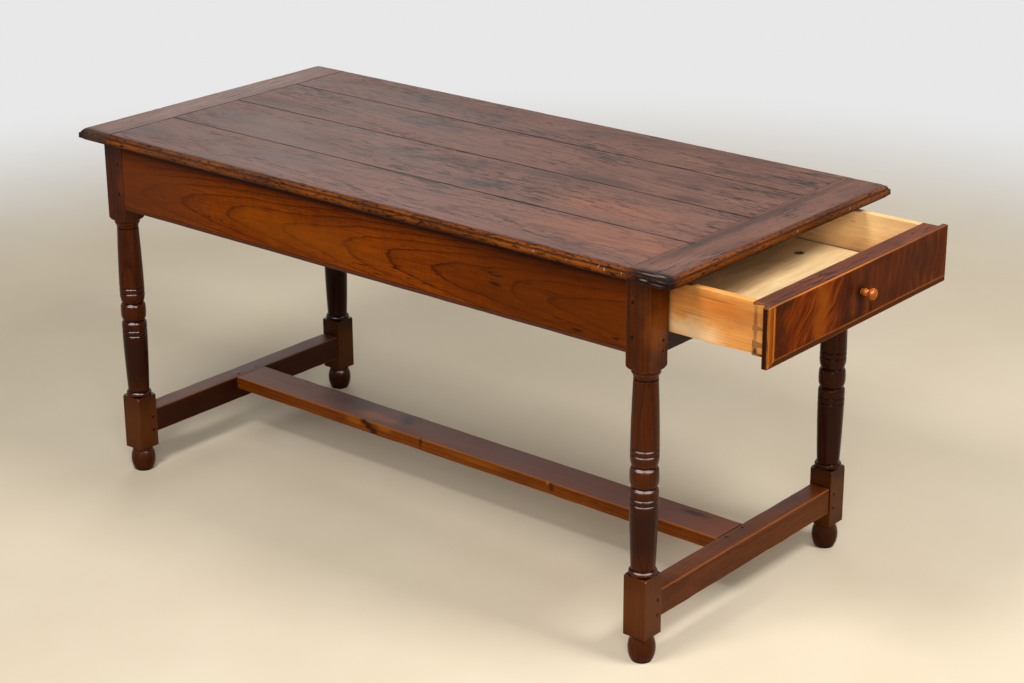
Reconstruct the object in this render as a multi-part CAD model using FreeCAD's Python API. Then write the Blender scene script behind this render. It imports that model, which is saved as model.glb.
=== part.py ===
import FreeCAD, Part
import math
import os

# A farmhouse table: a plank top with breadboard ends, turned legs joined by an H of stretchers,
# and a lipped drawer that slides out of one end. It stands with the drawer part open.
# Millimetres. X runs along the table towards the drawer, Y across it, Z up.
# The origin is on the floor, midway between the four feet.

V = FreeCAD.Vector

# Top
table_length = 1524.0
table_width = 712.0
table_height = 765.0
top_thickness = 21.0
near_board_width = 182.0
inner_near_board_width = 188.0
inner_far_board_width = 177.0
breadboard_width = 92.0
seam_gap = 0.8
seam_easing = 1.2
edge_thumb_run = 11.0
edge_thumb_drop = 8.0
edge_fillet_width = 3.0
tongue_length = 24.0
tongue_thickness = 8.0
tongue_setback = 40.0
tongue_end_gap = 2.0

# Legs
end_overhang = 55.2
side_overhang = 21.2
upper_block = 53.0
upper_block_below_rail = 28.0
lower_block = 50.0
lower_block_length = 120.0
block_arris_radius = 1.6
upper_corner_depth = 9.5
upper_corner_height = 7.5
lower_corner_depth = 6.0
lower_corner_height = 4.0
foot_height = 54.0
foot_bottom_radius = 19.6
foot_bulb_radius = 26.2
foot_bulb_height = 27.0
foot_neck_radius = 22.0
foot_neck_length = 8.0
collar_height = 12.0
collar_radius = 26.7
collar_seat_radius = 24.2
column_radius = 26.5
column_swell = 0.5
lower_column_foot_radius = 22.6
upper_column_head_radius = 22.8
ball_centre_height = 368.0
ball_height = 40.0
ball_radius = 26.8
ball_shoulder = 10.0
ball_shoulder_radius = 26.4
waist_radius = 23.4
neck_radius = 20.2
ring_height = 20.4
ring_shoulder = 9.5
bead_height = 18.2
groove_width = 3.0
groove_depth = 2.4
groove_shoulder = 5.0
groove_spacing = 11.3
sharp_wall = 0.5
shoulder_lip_height = 7.0
shoulder_cove_height = 10.0

# Rails round the top of the frame
rail_thickness = 24.0
rail_recess = 1.5
rail_bead_height = 8.0
rail_quirk_width = 1.6
rail_quirk_depth = 1.6
rail_bead_round = 2.5
rail_tenon_thickness = 10.0
side_rail_tenon_length = 28.0
cross_rail_tenon_length = 28.0
rail_tenon_lower_shoulder = 10.0
rail_tenon_upper_shoulder = 16.0
drawer_rail_height = 35.0
drawer_rail_depth = 30.0
drawer_rail_recess = 4.5
drawer_rail_shoulder = 1.5
upper_rail_thickness = 10.5
upper_rail_depth = 38.0
upper_rail_recess = 7.0
upper_rail_lap = 20.0
upper_rail_lap_neck = 24.0

# Stretchers
stretcher_top_height = 138.0
end_stretcher_height = 54.0
end_stretcher_thickness = 45.0
end_stretcher_recess = 3.0
end_stretcher_tenon_thickness = 14.0
end_stretcher_tenon_length = 32.0
end_stretcher_tenon_shoulder = 3.0
long_stretcher_width = 87.0
long_stretcher_thickness = 28.0
long_stretcher_tenon_thickness = 12.0
long_stretcher_tenon_length = 30.0
long_stretcher_tenon_shoulder = 8.0
stretcher_easing = 1.5

# Pegs and nails
rail_peg_radius = 4.0
rail_peg_length = 34.0
rail_peg_from_shoulder = 14.5
side_rail_peg_lower_height = 33.0
side_rail_peg_upper_height = 97.0
end_rail_peg_lower_height = 20.0
end_rail_peg_upper_height = 112.0
slim_peg_radius = 3.5
drawer_rail_peg_length = 34.0
drawer_rail_peg_from_shoulder = 13.4
drawer_rail_peg_lower_height = 5.5
drawer_rail_peg_spacing = 20.0
stretcher_peg_from_shoulder = 12.0
stretcher_peg_lower_height = 8.5
stretcher_peg_spacing = 30.0
long_stretcher_peg_length = 42.0
long_stretcher_peg_from_shoulder = 11.0
long_stretcher_peg_half_spacing = 27.0
top_peg_radius = 4.0
breadboard_peg_from_joint = 11.0
breadboard_peg_cover = 4.0
bearer_peg_bite = 12.0
peg_proud = 0.3
nail_radius = 1.4
nail_head_radius = 3.0
nail_head_thickness = 1.2

# Bearers and blocks under the top
bearer_width = 45.0
bearer_height = 32.0
bearer_housing_depth = 8.0
bearer_behind_runner = 24.0
glue_block_length = 70.0
glue_block_size = 25.0
end_glue_block_place = 120.0

# Drawer
drawer_open = 202.5
drawer_closing_gap = 0.8
drawer_length = 560.0
drawer_height = 95.0
drawer_side_clearance = 3.0
drawer_top_clearance = 2.5
drawer_running_gap = 0.3
lip_thickness = 9.5
lip_side_overlap = 13.8
lip_lower_overlap = 13.4
front_core_thickness = 31.0
drawer_side_thickness = 17.0
drawer_side_wear = 4.5
drawer_side_wear_length = 130.0
drawer_back_thickness = 16.0
drawer_back_inset = 12.0
drawer_back_drop = 7.0
drawer_back_housing = 5.0
drawer_bottom_thickness = 10.0
drawer_bottom_height = 6.0
drawer_bottom_groove = 8.0
drawer_bottom_edge_gap = 1.0
drawer_bottom_front_board = 330.0
bottom_hole_radius = 8.5
bottom_hole_from_face = 250.0
bottom_hole_across = 186.0
bottom_nail_bite = 20.0
bottom_nail_inner_place = 70.0
bottom_nail_outer_place = 210.0
tail_length = 22.0
tail_slope = 6.0
bottom_half_pin = 5.0
lower_pin_height = 20.5
lower_pin_width = 14.0
upper_pin_height = 49.5
upper_pin_width = 11.0
top_half_pin = 5.0

# Face of the drawer
veneer_thickness = 1.0
end_band_width = 21.0
bottom_band_width = 9.5
stringing_width = 1.6
knob_height = 46.0
knob_shank_radius = 4.0
knob_base_radius = 5.4
knob_base_length = 2.2
knob_bead_radius = 7.2
knob_bead_length = 13.0
knob_neck_radius = 4.4
knob_button_radius = 10.8
knob_button_length = 14.8
knob_dome_radius = 7.6
knob_dome_height = 2.1

# Runners, guides and kickers that carry the drawer
runner_width = 55.0
runner_thickness = 22.0
runner_back_margin = 20.0
runner_stub_length = 8.0
runner_stub_thickness = 10.0
runner_stub_shoulder = 4.0
guide_height = 30.0
guide_nail_length = 42.0
runner_nail_bite = 18.0
kicker_nail_bite = 12.0
nail_end_margin = 60.0
nail_stagger = 30.0

# Fits, how far a cutter runs past what it cuts, and how near two places count as one
joint_clearance = 0.15
peg_clearance = 0.1
cutter_margin = 5.0
same_place = 1e-6

# Places worked out from the sizes above
half_length = table_length / 2
half_width = table_width / 2
top_under = table_height - top_thickness
board_end = half_length - breadboard_width
seams = [-half_width + near_board_width]
seams.append(seams[-1] + inner_near_board_width)
seams.append(seams[-1] + inner_far_board_width)
board_edges = [-half_width] + seams + [half_width]
board_middles = [(a + b) / 2 for a, b in zip(board_edges, board_edges[1:])]
tongue_foot = top_under + (top_thickness - tongue_thickness) / 2
tongue_heights = (tongue_foot, tongue_foot + tongue_thickness)

leg_face_x = half_length - end_overhang
leg_face_y = half_width - side_overhang
leg_x = leg_face_x - upper_block / 2
leg_y = leg_face_y - upper_block / 2
leg_inner_x = leg_face_x - upper_block
leg_inner_y = leg_face_y - upper_block

drawer_head = top_under - upper_rail_thickness - drawer_top_clearance
drawer_foot = drawer_head - drawer_height
runner_head = drawer_foot - drawer_running_gap
rail_foot = runner_head - drawer_rail_height
rail_outer_y = leg_face_y - rail_recess
rail_inner_y = rail_outer_y - rail_thickness
rail_outer_x = leg_face_x - rail_recess
rail_inner_x = rail_outer_x - rail_thickness
drawer_rail_face = leg_face_x - drawer_rail_recess
drawer_rail_back = drawer_rail_face - drawer_rail_depth
upper_block_foot = rail_foot - upper_block_below_rail
lower_block_top = foot_height + lower_block_length

stretcher_foot = stretcher_top_height - end_stretcher_height
stretcher_outer_x = leg_x + lower_block / 2 - end_stretcher_recess
stretcher_inner_x = stretcher_outer_x - end_stretcher_thickness
stretcher_end_y = leg_y - lower_block / 2

lip_back = leg_face_x + drawer_open
lip_front = lip_back + lip_thickness
drawer_face = lip_front + veneer_thickness
core_back = lip_back - front_core_thickness
drawer_back_x = drawer_face - drawer_length
drawer_side_y = leg_inner_y - drawer_side_clearance
drawer_inner_y = drawer_side_y - drawer_side_thickness
lip_end_y = leg_inner_y + lip_side_overlap
lip_foot = drawer_foot - lip_lower_overlap
bottom_foot = drawer_foot + drawer_bottom_height
bottom_head = bottom_foot + drawer_bottom_thickness

runner_back = drawer_back_x - (drawer_open - drawer_closing_gap) - runner_back_margin
runner_foot = runner_head - runner_thickness
front_bearer_x = runner_back - bearer_behind_runner - bearer_width / 2
rear_bearer_x = (front_bearer_x - rail_inner_x) / 2
bearer_foot = top_under - bearer_height

UP = V(0, 0, 1)
ENDS = (1, -1)
SIDES = {"near": -1, "far": 1}


def block(x, y, z, grow=0.0):
    """A box between two values along each axis, grown all round by a clearance."""
    low = [min(span) - grow for span in (x, y, z)]
    high = [max(span) + grow for span in (x, y, z)]
    return Part.makeBox(*[b - a for a, b in zip(low, high)], V(*low))


def prism(points, along):
    """A straight-edged outline drawn out along a vector."""
    return Part.Face(Part.makePolygon(points + points[:1])).extrude(along)


def turned(outline):
    """A lathe turning round the upright axis from a list of (radius, height).

    A pair of such points in the list is an arc through the first to the second.
    """
    start = V(outline[0][0], 0, outline[0][1])
    here = start
    edges = []
    for step in outline[1:]:
        if isinstance(step[0], tuple):
            middle, end = [V(r, 0, z) for r, z in step]
            edges.append(Part.Arc(here, middle, end).toShape())
        else:
            end = V(step[0], 0, step[1])
            edges.append(Part.LineSegment(here, end).toShape())
        here = end
    closing = [V(0, 0, here.z), V(0, 0, start.z), start]
    if here.x > same_place:
        closing.insert(0, here)
    edges += [Part.LineSegment(a, b).toShape() for a, b in zip(closing, closing[1:])]
    return Part.Face(Part.Wire(edges)).revolve(V(0, 0, 0), UP, 360)


def crown_middle(run, drop):
    """How far out and down the middle lies on an arc that starts level and falls by drop over run."""
    radius = (run**2 + drop**2) / (2 * drop)
    half_turn = math.atan2(run, radius - drop) / 2
    return radius * math.sin(half_turn), radius * (1 - math.cos(half_turn))


def eased(shape, size, chosen):
    """The shape with a small chamfer on every edge whose middle is chosen."""
    return shape.makeChamfer(size, [edge for edge in shape.Edges if chosen(edge.CenterOfMass)])


def peg(start, way, radius, length, proud=peg_proud):
    """A wooden peg whose head stands a little proud of the face it was driven into."""
    return Part.makeCylinder(radius, length + proud, start - way * proud, way)


def peg_hole(start, way, radius, length):
    """The hole for a peg, open at the face it was driven into."""
    reach = peg_proud + peg_clearance
    return Part.makeCylinder(radius + peg_clearance, length + 2 * reach, start - way * reach, way)


def nail(start, way, length, grow=0.0):
    """A cut nail with its head punched flush, or its hole when grown by a clearance."""
    head = Part.makeCylinder(nail_head_radius + grow, nail_head_thickness + grow, start, way)
    shank = Part.makeCylinder(nail_radius + grow, length + grow, start, way)
    return head.fuse(shank).removeSplitter()


def drilled(shape, pegs=(), nails=()):
    """The shape with the holes of these pegs and nails."""
    holes = [peg_hole(*spot) for spot in pegs] + [nail(*spot, grow=peg_clearance) for spot in nails]
    return shape.cut(holes) if holes else shape


pieces = {}

# Where every peg and nail goes: its start, its way, then its sizes.
breadboard_pegs = {
    end: [
        (V(end * (board_end + breadboard_peg_from_joint), y, top_under), UP, top_peg_radius,
         top_thickness - breadboard_peg_cover)
        for y in board_middles
    ]
    for end in ENDS
}
bearer_pegs = {
    place: [
        (V(place, y, bearer_foot), UP, top_peg_radius, bearer_height + bearer_peg_bite)
        for y in board_middles
    ]
    for place in (front_bearer_x, rear_bearer_x)
}
side_rail_pegs = {
    side: [
        (V(end * (leg_inner_x + rail_peg_from_shoulder), side * leg_face_y, rail_foot + height),
         V(0, -side, 0), rail_peg_radius, rail_peg_length)
        for end in ENDS
        for height in (side_rail_peg_lower_height, side_rail_peg_upper_height)
    ]
    for side in SIDES.values()
}
end_rail_pegs = [
    (V(-leg_face_x, side * (leg_inner_y + rail_peg_from_shoulder), rail_foot + height),
     V(1, 0, 0), rail_peg_radius, rail_peg_length)
    for side in SIDES.values()
    for height in (end_rail_peg_lower_height, end_rail_peg_upper_height)
]
drawer_rail_pegs = [
    (V(leg_face_x, side * (leg_inner_y + drawer_rail_peg_from_shoulder),
       rail_foot + drawer_rail_peg_lower_height + step * drawer_rail_peg_spacing),
     V(-1, 0, 0), slim_peg_radius, drawer_rail_peg_length)
    for side in SIDES.values()
    for step in (0, 1)
]
stretcher_pegs = {
    end: [
        (V(end * (leg_x + lower_block / 2), side * (stretcher_end_y + stretcher_peg_from_shoulder),
           stretcher_foot + stretcher_peg_lower_height + step * stretcher_peg_spacing),
         V(-end, 0, 0), slim_peg_radius, lower_block)
        for side in SIDES.values()
        for step in (0, 1)
    ]
    for end in ENDS
}
long_stretcher_pegs = {
    end: [
        (V(end * (stretcher_inner_x + long_stretcher_peg_from_shoulder),
           side * long_stretcher_peg_half_spacing, stretcher_top_height),
         V(0, 0, -1), slim_peg_radius, long_stretcher_peg_length)
        for side in SIDES.values()
    ]
    for end in ENDS
}
strip_middle_x = (runner_back + leg_inner_x) / 2
strip_nail_places = (runner_back + nail_end_margin, strip_middle_x, leg_inner_x - nail_end_margin)
guide_nails = {
    side: [
        (V(x, side * leg_inner_y, runner_head + guide_height / 2), V(0, side, 0), guide_nail_length)
        for x in strip_nail_places
    ]
    for side in SIDES.values()
}
runner_nails = {
    side: [
        (V(x - nail_stagger, side * (leg_inner_y + rail_inner_y) / 2, runner_foot), UP,
         runner_thickness + runner_nail_bite)
        for x in strip_nail_places
    ]
    for side in SIDES.values()
}
kicker_nails = {
    side: [
        (V(x, side * (rail_inner_y - runner_width / 2), top_under - upper_rail_thickness), UP,
         upper_rail_thickness + kicker_nail_bite)
        for x in strip_nail_places
    ]
    for side in SIDES.values()
}
bottom_nails = [
    (V(drawer_back_x + drawer_back_inset + drawer_back_thickness / 2, y, bottom_foot), UP,
     drawer_bottom_thickness + bottom_nail_bite)
    for place in (bottom_nail_inner_place, bottom_nail_outer_place)
    for y in (-place, place)
]


def moulding_cutter(place, along):
    """What the moulding plane takes off one edge: a thumb round that ends on a small fillet.

    place turns a distance in from the edge and a height into a point.
    """
    inset = edge_thumb_run + edge_fillet_width
    thumb_out, thumb_down = crown_middle(edge_thumb_run, edge_thumb_drop)
    middle = place(inset - thumb_out, table_height - thumb_down)
    fillet = table_height - edge_thumb_drop
    corners = [
        place(edge_fillet_width, fillet),
        place(-cutter_margin, fillet),
        place(-cutter_margin, table_height + cutter_margin),
        place(inset, table_height + cutter_margin),
        place(inset, table_height),
    ]
    edges = [Part.LineSegment(a, b).toShape() for a, b in zip(corners, corners[1:])]
    edges.append(Part.Arc(corners[-1], middle, corners[0]).toShape())
    return Part.Face(Part.Wire(edges)).extrude(along)


def side_moulding(side):
    """The cutter for one long edge of the top."""
    start = -half_length - cutter_margin
    return moulding_cutter(
        lambda inset, z: V(start, side * (half_width - inset), z), V(table_length + 2 * cutter_margin, 0, 0)
    )


def end_moulding(end):
    """The cutter for one end of the top."""
    start = -half_width - cutter_margin
    return moulding_cutter(
        lambda inset, z: V(end * (half_length - inset), start, z), V(0, table_width + 2 * cutter_margin, 0)
    )


def same(a, b):
    """Whether two lengths are one and the same."""
    return abs(a - b) < same_place


def on_top(point):
    """Whether a point lies on the upper face of the top."""
    return same(point.z, table_height)


# Top boards, with a tongue on each end
top_pegs = [spot for group in (breadboard_pegs, bearer_pegs) for spots in group.values() for spot in spots]
top_nails = [spot for spots in kicker_nails.values() for spot in spots]
board_names = ("top_board_near", "top_board_inner_near", "top_board_inner_far", "top_board_far")
for name, edge_a, edge_b in zip(board_names, board_edges, board_edges[1:]):
    low = edge_a if edge_a == -half_width else edge_a + seam_gap / 2
    high = edge_b if edge_b == half_width else edge_b - seam_gap / 2
    length = board_end - seam_gap / 2
    board = block((-length, length), (low, high), (top_under, table_height))
    board = eased(board, seam_easing, lambda c: on_top(c) and abs(c.y) < half_width - cutter_margin)
    tongue_low = max(low, -half_width + tongue_setback)
    tongue_high = min(high, half_width - tongue_setback)
    tongue_end = board_end + tongue_length
    tongue = block((-tongue_end, tongue_end), (tongue_low, tongue_high), tongue_heights)
    board = board.fuse(tongue).removeSplitter()
    board = board.cut([side_moulding(side) for side in SIDES.values()])
    pieces[name] = drilled(board, top_pegs, top_nails)

# Breadboard ends, grooved for the tongues
for name, end in (("breadboard_drawer_end", 1), ("breadboard_blind_end", -1)):
    bread = block((end * board_end, end * half_length), (-half_width, half_width), (top_under, table_height))
    bread = eased(bread, seam_easing, lambda c: on_top(c) and abs(abs(c.x) - board_end) < cutter_margin)
    groove_y = half_width - tongue_setback
    groove = block(
        (end * (board_end - cutter_margin), end * (board_end + tongue_length + tongue_end_gap)),
        (-groove_y, groove_y),
        tongue_heights,
        grow=joint_clearance,
    )
    bread = bread.cut([groove, end_moulding(end)] + [side_moulding(side) for side in SIDES.values()])
    pieces[name] = drilled(bread, breadboard_pegs[end])
pieces["breadboard_pegs"] = [peg(*spot, proud=0.0) for spots in breadboard_pegs.values() for spot in spots]


# Tenons, as spans along X, Y and Z, from which the mortises are cut too
def side_rail_tenon(end, side):
    """A side rail's tenon in one leg."""
    middle = side * (rail_outer_y - rail_thickness / 2)
    return (
        (end * leg_inner_x, end * (leg_inner_x + side_rail_tenon_length)),
        (middle - rail_tenon_thickness / 2, middle + rail_tenon_thickness / 2),
        (rail_foot + rail_tenon_lower_shoulder, top_under - rail_tenon_upper_shoulder),
    )


def end_rail_tenon(side):
    """The blind end rail's tenon in one leg."""
    middle = -(rail_outer_x - rail_thickness / 2)
    return (
        (middle - rail_tenon_thickness / 2, middle + rail_tenon_thickness / 2),
        (side * leg_inner_y, side * (leg_inner_y + cross_rail_tenon_length)),
        (rail_foot + rail_tenon_lower_shoulder, top_under - rail_tenon_upper_shoulder),
    )


def drawer_rail_tenon(side):
    """The tenon of the rail under the drawer in one leg."""
    middle = (drawer_rail_face + drawer_rail_back) / 2
    return (
        (middle - rail_tenon_thickness / 2, middle + rail_tenon_thickness / 2),
        (side * leg_inner_y, side * (leg_inner_y + cross_rail_tenon_length)),
        (rail_foot + drawer_rail_shoulder, runner_head - drawer_rail_shoulder),
    )


def end_stretcher_tenon(end, side):
    """An end stretcher's tenon in one leg."""
    middle = end * (stretcher_outer_x + stretcher_inner_x) / 2
    return (
        (middle - end_stretcher_tenon_thickness / 2, middle + end_stretcher_tenon_thickness / 2),
        (side * stretcher_end_y, side * (stretcher_end_y + end_stretcher_tenon_length)),
        (stretcher_foot + end_stretcher_tenon_shoulder, stretcher_top_height - end_stretcher_tenon_shoulder),
    )


def long_stretcher_tenon(end):
    """The long stretcher's tenon in one end stretcher."""
    half = long_stretcher_width / 2 - long_stretcher_tenon_shoulder
    middle = stretcher_top_height - long_stretcher_thickness / 2
    return (
        (end * stretcher_inner_x, end * (stretcher_inner_x + long_stretcher_tenon_length)),
        (-half, half),
        (middle - long_stretcher_tenon_thickness / 2, middle + long_stretcher_tenon_thickness / 2),
    )


def upper_rail_lap_joint(side, grow=0.0):
    """The dovetailed lap that drops the upper rail into the top of one leg."""
    middle = leg_face_x - upper_rail_recess - upper_rail_depth / 2
    neck = upper_rail_lap_neck / 2 + grow
    root = side * leg_inner_y
    tip = side * (leg_inner_y + upper_rail_lap + grow)
    tip_half = neck + upper_rail_lap / tail_slope
    foot = top_under - upper_rail_thickness - grow
    outline = [V(middle - neck, root, foot), V(middle + neck, root, foot),
               V(middle + tip_half, tip, foot), V(middle - tip_half, tip, foot)]
    return prism(outline, V(0, 0, upper_rail_thickness + 2 * grow))


def runner_stub(side):
    """The stub on the front of a runner that is let into the rail under the drawer."""
    middle = runner_head - runner_thickness / 2
    return (
        (drawer_rail_back, drawer_rail_back + runner_stub_length),
        (
            side * (rail_inner_y - runner_width + runner_stub_shoulder),
            side * (leg_inner_y - runner_stub_shoulder),
        ),
        (middle - runner_stub_thickness / 2, middle + runner_stub_thickness / 2),
    )


# Legs
def leg_block(size, foot, head, turned_end, corner_depth, corner_height):
    """A square of the leg, its arrises worn round and its corners turned away at one end."""
    half = size / 2
    square = block((-half, half), (-half, half), (foot, head))
    upright = [edge for edge in square.Edges if abs(edge.CenterOfMass.z - (foot + head) / 2) < same_place]
    square = square.makeFillet(block_arris_radius, upright)
    reach = math.hypot(half, half)
    other_end = foot + head - turned_end
    inward = math.copysign(1, other_end - turned_end)
    out, down = crown_middle(corner_depth, corner_height)
    outline = [
        (reach - corner_depth, turned_end),
        (
            (reach - corner_depth + out, turned_end + inward * down),
            (reach, turned_end + inward * corner_height),
        ),
        (reach, other_end),
    ]
    return square.common(turned(outline))


def groove(height):
    """A groove cut round the column at a height: a rounded shoulder under a sharp wall."""
    along, inward = crown_middle(groove_shoulder, groove_depth)
    return [
        (column_radius, height - groove_shoulder),
        (
            (column_radius - inward, height - groove_shoulder + along),
            (column_radius - groove_depth, height),
        ),
        (column_radius, height + sharp_wall),
    ]


def turned_leg():
    """One leg on the upright axis: foot, lower block, turned column and upper block."""
    neck_foot = foot_height - foot_neck_length
    foot = turned([
        (foot_bottom_radius, 0.0),
        ((foot_bulb_radius, foot_bulb_height), (foot_neck_radius, neck_foot)),
        (foot_neck_radius, foot_height),
    ])
    collar_top = lower_block_top + collar_height
    ball_foot = ball_centre_height - ball_height / 2
    ball_head = ball_centre_height + ball_height / 2
    ring_foot = ball_foot - ring_height
    bead_head = ball_head + bead_height
    low_grooves = [ring_foot - sharp_wall - groove_spacing, ring_foot - sharp_wall]
    high_grooves = [bead_head + groove_shoulder, bead_head + groove_shoulder + groove_spacing]
    low_column_head = low_grooves[0] - groove_shoulder
    high_column_foot = high_grooves[1] + sharp_wall
    cove_foot = upper_block_foot - shoulder_lip_height - shoulder_cove_height
    low_middle_radius = (lower_column_foot_radius + column_radius) / 2 + column_swell
    high_middle_radius = (upper_column_head_radius + column_radius) / 2 + column_swell
    column = [
        (collar_seat_radius, lower_block_top),
        (
            (collar_radius, lower_block_top + collar_height / 2),
            (lower_column_foot_radius - groove_depth, collar_top),
        ),
        (lower_column_foot_radius, collar_top + sharp_wall),
        (
            (low_middle_radius, (collar_top + low_column_head) / 2),
            (column_radius, low_column_head),
        ),
    ]
    column += groove(low_grooves[0])[1:] + groove(low_grooves[1])
    ring_along, ring_in = crown_middle(ring_shoulder, column_radius - neck_radius)
    bead_along, bead_in = crown_middle(bead_height, column_radius - waist_radius)
    crown_along, crown_in = crown_middle(ball_shoulder, ball_shoulder_radius - neck_radius)
    base_along, base_in = crown_middle(ball_shoulder, ball_shoulder_radius - waist_radius)
    ring_shoulder_foot = ball_foot - ring_shoulder
    base_head = ball_foot + sharp_wall + ball_shoulder
    shoulder_foot = ball_head - ball_shoulder
    column += [
        (column_radius, ring_shoulder_foot),
        ((column_radius - ring_in, ring_shoulder_foot + ring_along), (neck_radius, ball_foot)),
        (waist_radius, ball_foot + sharp_wall),
        ((ball_shoulder_radius - base_in, base_head - base_along), (ball_shoulder_radius, base_head)),
        ((ball_radius, ball_centre_height), (ball_shoulder_radius, shoulder_foot)),
        (
            (ball_shoulder_radius - crown_in, shoulder_foot + crown_along),
            (neck_radius, ball_head),
        ),
        (waist_radius, ball_head + sharp_wall),
        ((column_radius - bead_in, bead_head - bead_along), (column_radius, bead_head)),
    ]
    column += groove(high_grooves[0])[1:] + groove(high_grooves[1])
    cove_radius = upper_block / 2
    cove_along, cove_out = crown_middle(shoulder_cove_height, cove_radius - upper_column_head_radius)
    column += [
        (
            (high_middle_radius, (high_column_foot + cove_foot) / 2),
            (upper_column_head_radius, cove_foot - groove_width),
        ),
        (upper_column_head_radius - groove_depth, cove_foot - groove_width / 2),
        (upper_column_head_radius, cove_foot),
        (
            (upper_column_head_radius + cove_out, cove_foot + cove_along),
            (cove_radius, cove_foot + shoulder_cove_height),
        ),
        (cove_radius, upper_block_foot),
    ]
    squares = [
        leg_block(lower_block, foot_height, lower_block_top, lower_block_top, lower_corner_depth,
                  lower_corner_height),
        leg_block(upper_block, upper_block_foot, top_under, upper_block_foot, upper_corner_depth,
                  upper_corner_height),
    ]
    return foot.fuse([turned(column)] + squares).removeSplitter()


plain_leg = turned_leg()
for end_name, end in (("drawer_end", 1), ("blind_end", -1)):
    for side_name, side in SIDES.items():
        leg = plain_leg.copy()
        leg.translate(V(end * leg_x, side * leg_y, 0))
        cross_tenon = drawer_rail_tenon(side) if end > 0 else end_rail_tenon(side)
        mortises = [side_rail_tenon(end, side), cross_tenon, end_stretcher_tenon(end, side)]
        cuts = [block(*spans, grow=joint_clearance) for spans in mortises]
        if end > 0:
            cuts.append(upper_rail_lap_joint(side, grow=joint_clearance))
        cross_pegs = drawer_rail_pegs if end > 0 else end_rail_pegs
        leg = drilled(leg.cut(cuts), side_rail_pegs[side] + cross_pegs + stretcher_pegs[end])
        pieces[f"leg_{end_name}_{side_name}"] = leg


# Rails
def beaded(shape, quirk, lower_arris):
    """A rail with a bead worked along the bottom of its face: a quirk above a rounded arris."""
    edges = [edge for edge in shape.Edges if lower_arris(edge.CenterOfMass)]
    return shape.makeFillet(rail_bead_round, edges).cut(quirk)


quirk_heights = (rail_foot + rail_bead_height, rail_foot + rail_bead_height + rail_quirk_width)
for side_name, side in SIDES.items():
    rail = block(
        (-leg_inner_x, leg_inner_x), (side * rail_outer_y, side * rail_inner_y), (rail_foot, top_under)
    )
    quirk = block(
        (-leg_inner_x - cutter_margin, leg_inner_x + cutter_margin),
        (side * (rail_outer_y - rail_quirk_depth), side * (rail_outer_y + cutter_margin)),
        quirk_heights,
    )
    rail = beaded(rail, quirk, lambda c: same(c.z, rail_foot) and same(c.y, side * rail_outer_y))
    rail = rail.fuse([block(*side_rail_tenon(end, side)) for end in ENDS]).removeSplitter()
    housings = [
        block(
            (place - bearer_width / 2, place + bearer_width / 2),
            (side * (rail_inner_y - cutter_margin), side * (rail_inner_y + bearer_housing_depth)),
            (bearer_foot, top_under + cutter_margin),
            grow=joint_clearance,
        )
        for place in bearer_pegs
    ]
    pieces[f"side_rail_{side_name}"] = drilled(rail.cut(housings), side_rail_pegs[side], guide_nails[side])

end_rail = block((-rail_outer_x, -rail_inner_x), (-leg_inner_y, leg_inner_y), (rail_foot, top_under))
end_quirk = block(
    (-rail_outer_x - cutter_margin, -rail_outer_x + rail_quirk_depth),
    (-leg_inner_y - cutter_margin, leg_inner_y + cutter_margin),
    quirk_heights,
)
end_rail = beaded(end_rail, end_quirk, lambda c: same(c.z, rail_foot) and same(c.x, -rail_outer_x))
end_rail = end_rail.fuse([block(*end_rail_tenon(side)) for side in SIDES.values()]).removeSplitter()
pieces["end_rail"] = drilled(end_rail, end_rail_pegs)

drawer_rail = block(
    (drawer_rail_back, drawer_rail_face), (-leg_inner_y, leg_inner_y), (rail_foot, runner_head)
)
drawer_rail = drawer_rail.fuse([block(*drawer_rail_tenon(side)) for side in SIDES.values()]).removeSplitter()
drawer_rail = drawer_rail.cut([block(*runner_stub(side), grow=joint_clearance) for side in SIDES.values()])
pieces["drawer_rail"] = drilled(drawer_rail, drawer_rail_pegs)

upper_rail_face = leg_face_x - upper_rail_recess
upper_rail = block(
    (upper_rail_face - upper_rail_depth, upper_rail_face),
    (-leg_inner_y, leg_inner_y),
    (top_under - upper_rail_thickness, top_under),
)
upper_rail_laps = [upper_rail_lap_joint(side) for side in SIDES.values()]
pieces["upper_rail"] = upper_rail.fuse(upper_rail_laps).removeSplitter()

pieces["side_rail_pegs"] = [peg(*spot) for spots in side_rail_pegs.values() for spot in spots]
pieces["end_rail_pegs"] = [peg(*spot) for spot in end_rail_pegs]
pieces["drawer_rail_pegs"] = [peg(*spot) for spot in drawer_rail_pegs]

# Stretchers
for end_name, end in (("drawer_end", 1), ("blind_end", -1)):
    bar = block(
        (end * stretcher_inner_x, end * stretcher_outer_x),
        (-stretcher_end_y, stretcher_end_y),
        (stretcher_foot, stretcher_top_height),
    )
    bar = eased(bar, stretcher_easing, lambda c: same(c.z, stretcher_top_height) and same(c.y, 0))
    bar = bar.fuse([block(*end_stretcher_tenon(end, side)) for side in SIDES.values()]).removeSplitter()
    bar = bar.cut(block(*long_stretcher_tenon(end), grow=joint_clearance))
    pieces[f"end_stretcher_{end_name}"] = drilled(bar, stretcher_pegs[end] + long_stretcher_pegs[end])

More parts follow.
